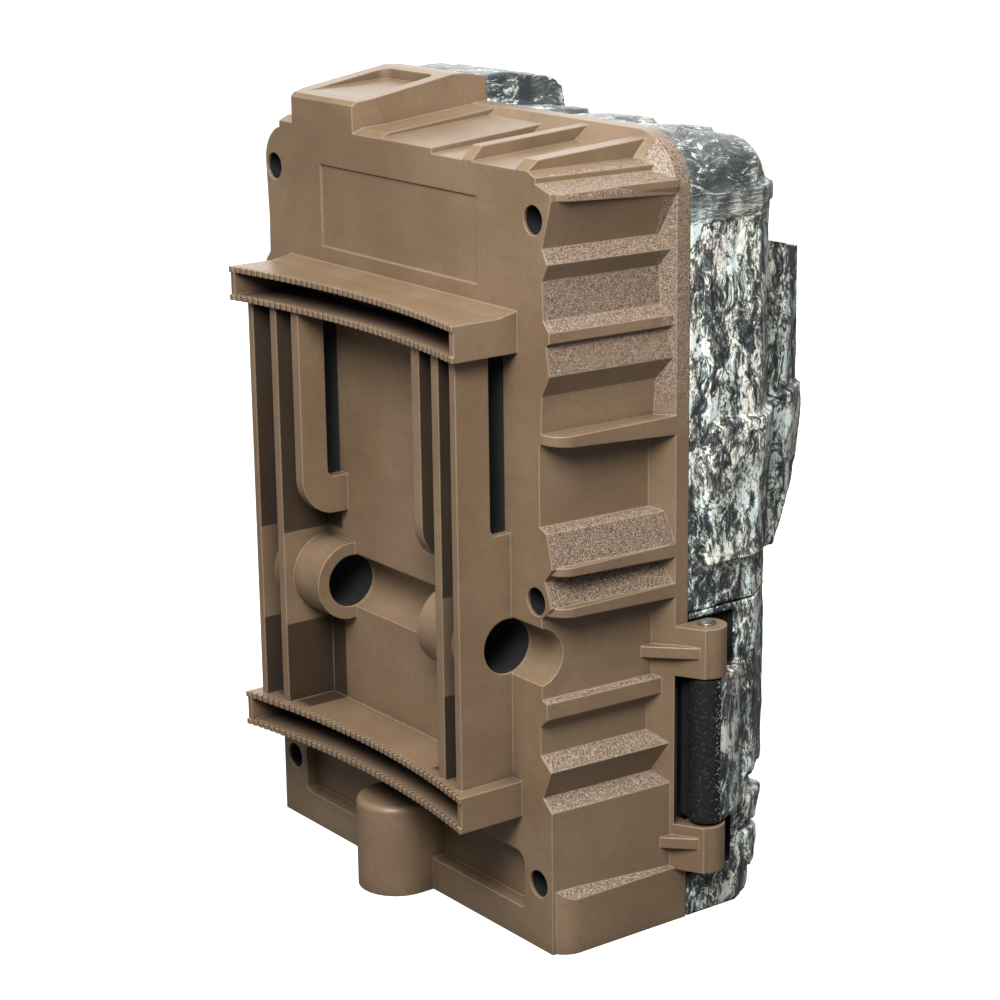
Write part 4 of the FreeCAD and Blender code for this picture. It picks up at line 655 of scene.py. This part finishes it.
def value_noise(p):
    """Smooth noise between 0 and 1 at each row of p."""
    base = np.floor(p).astype(int)
    f = p - base
    f = f * f * (3 - 2 * f)
    total = np.zeros(len(p))
    for i in (0, 1):
        for j in (0, 1):
            for k in (0, 1):
                cell = (base + (i, j, k)) % LATTICE_SIZE
                corner = LATTICE[cell[:, 0], cell[:, 1], cell[:, 2]]
                weight = ((f[:, 0] if i else 1 - f[:, 0]) * (f[:, 1] if j else 1 - f[:, 1])
                          * (f[:, 2] if k else 1 - f[:, 2]))
                total += corner * weight
    return total


def layered_noise(p, octaves):
    """Sum of value noise at doubling scales, between 0 and 1."""
    total, size, norm = np.zeros(len(p)), 1.0, 0.0
    for i in range(octaves):
        total += size * value_noise(p * 2 ** i + 17.3 * i)
        norm += size
        size *= 0.5
    return total / norm


def smooth(v, low, high):
    """0 at low, 1 at high, eased between them; high may be the smaller one."""
    t = np.clip((v - low) / (high - low), 0, 1)
    return t * t * (3 - 2 * t)


def applied(obj):
    """Turns the object's modifiers into its mesh."""
    bpy.context.view_layer.update()
    done = bpy.data.meshes.new_from_object(obj.evaluated_get(bpy.context.evaluated_depsgraph_get()))
    obj.modifiers.clear()
    obj.data = done
    return done


def shell_copy(node_name, name):
    """A remeshed copy of a CAD node's mesh, with softened edges."""
    source = nodes[node_name]
    mesh = source.data.copy()
    bm = bmesh.new()
    bm.from_mesh(mesh)
    bmesh.ops.remove_doubles(bm, verts=bm.verts, dist=1e-6)
    bm.to_mesh(mesh)
    bm.free()
    obj = bpy.data.objects.new(name, mesh)
    bpy.context.scene.collection.objects.link(obj)
    remesh = obj.modifiers.new("remesh", "REMESH")
    remesh.mode = "VOXEL"
    remesh.voxel_size = VOXEL
    remesh.adaptivity = 0.0
    applied(obj)
    return obj


def relief(obj, mask, height):
    """Moves each point along its normal by height(p) where mask(p, n) allows; p and n are in mm."""
    mesh = obj.data
    count = len(mesh.vertices)
    co = np.zeros(count * 3)
    mesh.vertices.foreach_get("co", co)
    co = co.reshape(-1, 3) / MM
    normal = np.zeros(count * 3)
    mesh.vertices.foreach_get("normal", normal)
    normal = normal.reshape(-1, 3)
    moved = co + normal * (mask(co, normal) * height(co, normal))[:, None]
    mesh.vertices.foreach_set("co", (moved * MM).ravel())
    mesh.update()


# ------------------------------------------------------------------ camouflage shells, in mm
VOXEL = 0.5 * MM
MOST_TRIANGLES = 190000
SEAM_Y = -31.9            # rear edge of the front shell
CHAMFER_Y = -47.5         # where the sides turn towards the front plane
FRONT_Y = -53.9
POD_FRONT_Y = -67.5
FLANK_X = 43.6            # the side walls' outer faces lie outside this
CROWN_Z = 128.0
SEAM_Z = 58.0             # lower edge of the front shell
DOOR_TOP_Z = 57.6
DOOR_WEB_X = 46.4         # the hinge web of the door lies outside this
LEDGE_HIGH_Z = 131.6      # three ledges round the front shell; the lower two rise towards the front
LEDGE_MID_Z, LEDGE_MID_RISE = 126.4, 0.10
LEDGE_LOW_Z, LEDGE_LOW_RISE = 90.6, 0.06
POD_LEDGE_Z = 113.9
SEAM_LIP = 0.2            # swells the edges along the seam, which the remeshing rounds
DOOR_SLOTS = (((-41.5, -45.2), (39.2, 41.8), 1.5), ((-41.4, -45.4), (24.4, 30.2), 1.2),
              ((-41.6, -45.1), (18.5, 20.9), 1.5), ((-44.6, -45.6), (13.0, 18.0), 1.0),
              ((-45.6, -49.6), (13.4, 14.3), 1.0))     # y span, z span and depth


def edge(v, at, soft):
    """0 before at, 1 after it, eased over soft on each side; a negative soft turns it round."""
    return smooth(v, at - soft, at + soft)


def outside(p, n):
    """1 on the outer faces of a shell, 0 on the faces inside it and close to the parting lines."""
    x, y, z = p.T
    sideways = n[:, 0] * np.sign(x)
    front_zone = y < FRONT_Y + 0.9
    flank = (np.abs(x) > FLANK_X) & (sideways > 0.3)
    crown = (z > CROWN_Z) & (n[:, 2] > 0.15)
    front = front_zone & (n[:, 1] < -0.3)
    slant = (y < CHAMFER_Y + 1.0) & (sideways > 0.25) & (np.abs(x) > 30.0)
    pod_top = front_zone & (n[:, 2] > 0.3) & (z > 112.0)
    return (flank | crown | front | slant | pod_top).astype(float)


def stretched_noise(p, scale, shift, octaves):
    return layered_noise(p * np.array(scale) + shift, octaves)


def bark(p, n):
    """Shallow bark relief: upright ridges on the walls, level ones on the crown."""
    x, _, z = p.T
    crown = smooth(n[:, 2], 0.4, 0.7) * smooth(z, 126.0, 130.0)
    upright = stretched_noise(p, (0.42, 0.42, 0.13), 31.0, 3)
    level = stretched_noise(p, (0.12, 0.45, 0.45), 57.0, 3)
    knots = stretched_noise(p, (0.11, 0.11, 0.08), 5.0, 2)
    mixed = upright * (1 - crown) + level * crown
    ridge = 1 - np.abs(2 * mixed - 1) * 2.2
    calm = 1 - 0.8 * smooth(z, 131.8, 133.0) * smooth(np.abs(x), 34.0, 37.0)
    return ((ridge - 0.45) * 0.34 + (knots - 0.5) * 0.9) * calm


def front_relief(p, n):
    """Bark, the ledges and the two shoulder domes of the front shell."""
    x, y, z = p.T
    ahead = np.clip(SEAM_Y - y, 0, 40)
    h = bark(p, n) * smooth(-y, 34.6, 37.0) * smooth(z, SEAM_Z + 0.5, SEAM_Z + 4.0)
    body = edge(-y, 36.05, 0.15)
    ledge_mid = LEDGE_MID_Z + LEDGE_MID_RISE * ahead
    ledge_low = LEDGE_LOW_Z + LEDGE_LOW_RISE * ahead
    dome = edge(z, LEDGE_HIGH_Z, 0.15) * smooth(np.abs(x), 34.0, 38.0) * (z < 142.0)
    h += body * dome * (smooth(z, 133.5, 137.0) * 0.75 - smooth(z, 135.0, 131.0) * 0.35)
    h -= body * edge(z, ledge_mid, -0.1) * 0.5 * smooth(z, 104.0, 122.0)
    h += body * edge(z, ledge_low, -0.1) * smooth(z, 76.0, 88.0) * 0.9
    h -= body * edge(z, ledge_low, 0.1) * smooth(z, 102.0, 92.0) * 0.2
    h += SEAM_LIP * (np.abs(z - SEAM_Z) < 0.7) * (n[:, 2] < -0.3) * (n[:, 2] > -0.93)
    pod = edge(-y, -FRONT_Y + 0.8, 0.4)
    h -= pod * edge(z, POD_LEDGE_Z, -0.15) * smooth(z, 104.0, 111.0) * 0.35
    face = (n[:, 1] < -0.7) & (y < POD_FRONT_Y + 1.5)
    return np.where(face, 0.18 * h, h)


def door_relief(p, n):
    """Bark and the small slots beside the hinge of the battery door."""
    x, y, z = p.T
    h = bark(p, n) * smooth(-y, 33.0, 36.0) * 0.8
    clear = smooth(DOOR_TOP_Z - z, 0.5, 4.0) * smooth(z, 0.4, 1.5)
    cut = np.zeros(len(x))
    for (rear, front), (low, high), deep in DOOR_SLOTS:
        across = edge(rear - y, 0, 0.12) * edge(y - front, 0, 0.12)
        along = edge(z, low, 0.12) * edge(high - z, 0, 0.12)
        cut = np.maximum(cut, across * along * deep)
    lip = SEAM_LIP * (np.abs(z - DOOR_TOP_Z) < 0.7) * (n[:, 2] > 0.3) * (n[:, 2] < 0.93)
    return np.where(np.abs(x) > DOOR_WEB_X, 0, h * clear + lip - cut * (x < -40))


def thinned(obj, most):
    """Fewer faces where the surface is flat, down to this many triangles."""
    count = sum(len(p.vertices) - 2 for p in obj.data.polygons)
    if count > most:
        less = obj.modifiers.new("less", "DECIMATE")
        less.ratio = most / count
        applied(obj)


def camo_shell(node_name, body, height):
    """A remeshed copy of a CAD shell with a bark relief, which stands for the node."""
    obj = shell_copy(node_name, node_name + "_shell")
    relief(obj, outside, height)
    thinned(obj, MOST_TRIANGLES)
    for p in obj.data.polygons:
        p.use_smooth = True
    dress(obj, FINISH["camo_plastic"])
    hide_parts(node_name)
    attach(obj, body)


camo_shell("front_housing", "housing", front_relief)
camo_shell("door", "door", door_relief)


# ------------------------------------------------------------------ floor, light and camera
FLOOR_HALF = 40.0
WORLD_LIGHT = 0.17
KEY_PLACE = (-0.22, 0.23, 0.37)
KEY_AIM = (0.0, -0.03, 0.11)
KEY_SIZE = 0.20
DOME_FROM, DOME_SPREAD = (-0.10, 0.05, 1.0), 60
FILL_FROM, FILL_SPREAD = (0.66, -0.64, 0.40), 60


def floor():
    """A pale floor, wider than any view, that lights nothing and isn't mirrored in the piece."""
    bm = bmesh.new()
    bmesh.ops.create_grid(bm, x_segments=2, y_segments=2, size=FLOOR_HALF)
    mesh = bpy.data.meshes.new("floor")
    bm.to_mesh(mesh)
    bm.free()
    obj = bpy.data.objects.new("floor", mesh)
    bpy.context.scene.collection.objects.link(obj)
    g = Graph("floor", Roughness=0.9, Specular_IOR_Level=0.1, Emission_Strength=0.8)
    g.shader.inputs["Emission Color"].default_value = (1, 1, 1, 1)
    cloud = g.noise(g.coords(), 3.0, 2.0)
    g.set(Base_Color=g.mix(cloud, srgb(176, 176, 176), srgb(182, 182, 182)))
    dress(obj, g.material)
    obj.visible_diffuse = False
    obj.visible_glossy = False


def area_light(name, place, target, size, power):
    """A square light at a place in metres, facing its target."""
    light = bpy.data.lights.new(name, "AREA")
    light.size = size
    light.energy = power
    obj = bpy.data.objects.new(name, light)
    bpy.context.scene.collection.objects.link(obj)
    obj.location = place
    obj.visible_camera = False
    obj.rotation_euler = (Vector(target) - Vector(place)).to_track_quat("-Z", "Y").to_euler()


def world(strength):
    """Even light from all sides, and white past the floor's edge."""
    scene_world = bpy.data.worlds.new("studio")
    bpy.context.scene.world = scene_world
    scene_world.use_nodes = True
    tree = scene_world.node_tree
    back = tree.nodes["Background"]
    back.inputs["Color"].default_value = (1, 1, 1, 1)
    seen = tree.nodes.new("ShaderNodeLightPath").outputs["Is Camera Ray"]
    level = tree.nodes.new("ShaderNodeMapRange")
    level.inputs["To Min"].default_value = strength
    level.inputs["To Max"].default_value = 1.0
    tree.links.new(seen, level.inputs["Value"])
    tree.links.new(level.outputs[0], back.inputs["Strength"])


def sun(name, toward, power, spread):
    """A distant light that shines from the direction of toward."""
    light = bpy.data.lights.new(name, "SUN")
    light.energy = power
    light.angle = math.radians(spread)
    obj = bpy.data.objects.new(name, light)
    bpy.context.scene.collection.objects.link(obj)
    obj.rotation_euler = (-Vector(toward)).to_track_quat("-Z", "Y").to_euler()


CAMERA_PLACE = (-0.379718, 0.256723, 0.203224)
CAMERA_YAW = math.radians(36.577)
CAMERA_PITCH = math.radians(15.758)
CAMERA_ROLL = math.radians(-0.746)
CAMERA_LENS = 94.94


def camera():
    """Behind the piece on its hinge side, looking a little down."""
    data = bpy.data.cameras.new("camera")
    data.sensor_width = 36.0
    data.lens = CAMERA_LENS
    data.clip_start = 0.01
    obj = bpy.data.objects.new("camera", data)
    bpy.context.scene.collection.objects.link(obj)
    flat = math.cos(CAMERA_PITCH)
    ahead = Vector((math.cos(CAMERA_YAW) * flat, -math.sin(CAMERA_YAW) * flat, -math.sin(CAMERA_PITCH)))
    level = ahead.cross(Vector((0, 0, 1))).normalized()
    over = level.cross(ahead)
    right = level * math.cos(CAMERA_ROLL) + over * math.sin(CAMERA_ROLL)
    up = over * math.cos(CAMERA_ROLL) - level * math.sin(CAMERA_ROLL)
    turn = Matrix((right, up, -ahead)).transposed().to_4x4()
    obj.matrix_world = Matrix.Translation(CAMERA_PLACE) @ turn
    bpy.context.scene.camera = obj


bpy.context.scene.view_settings.view_transform = "Standard"
floor()
world(WORLD_LIGHT)
area_light("key", KEY_PLACE, KEY_AIM, KEY_SIZE, 3.15)
sun("dome", DOME_FROM, 2.6, DOME_SPREAD)
sun("front", FILL_FROM, 1.5, FILL_SPREAD)
camera()
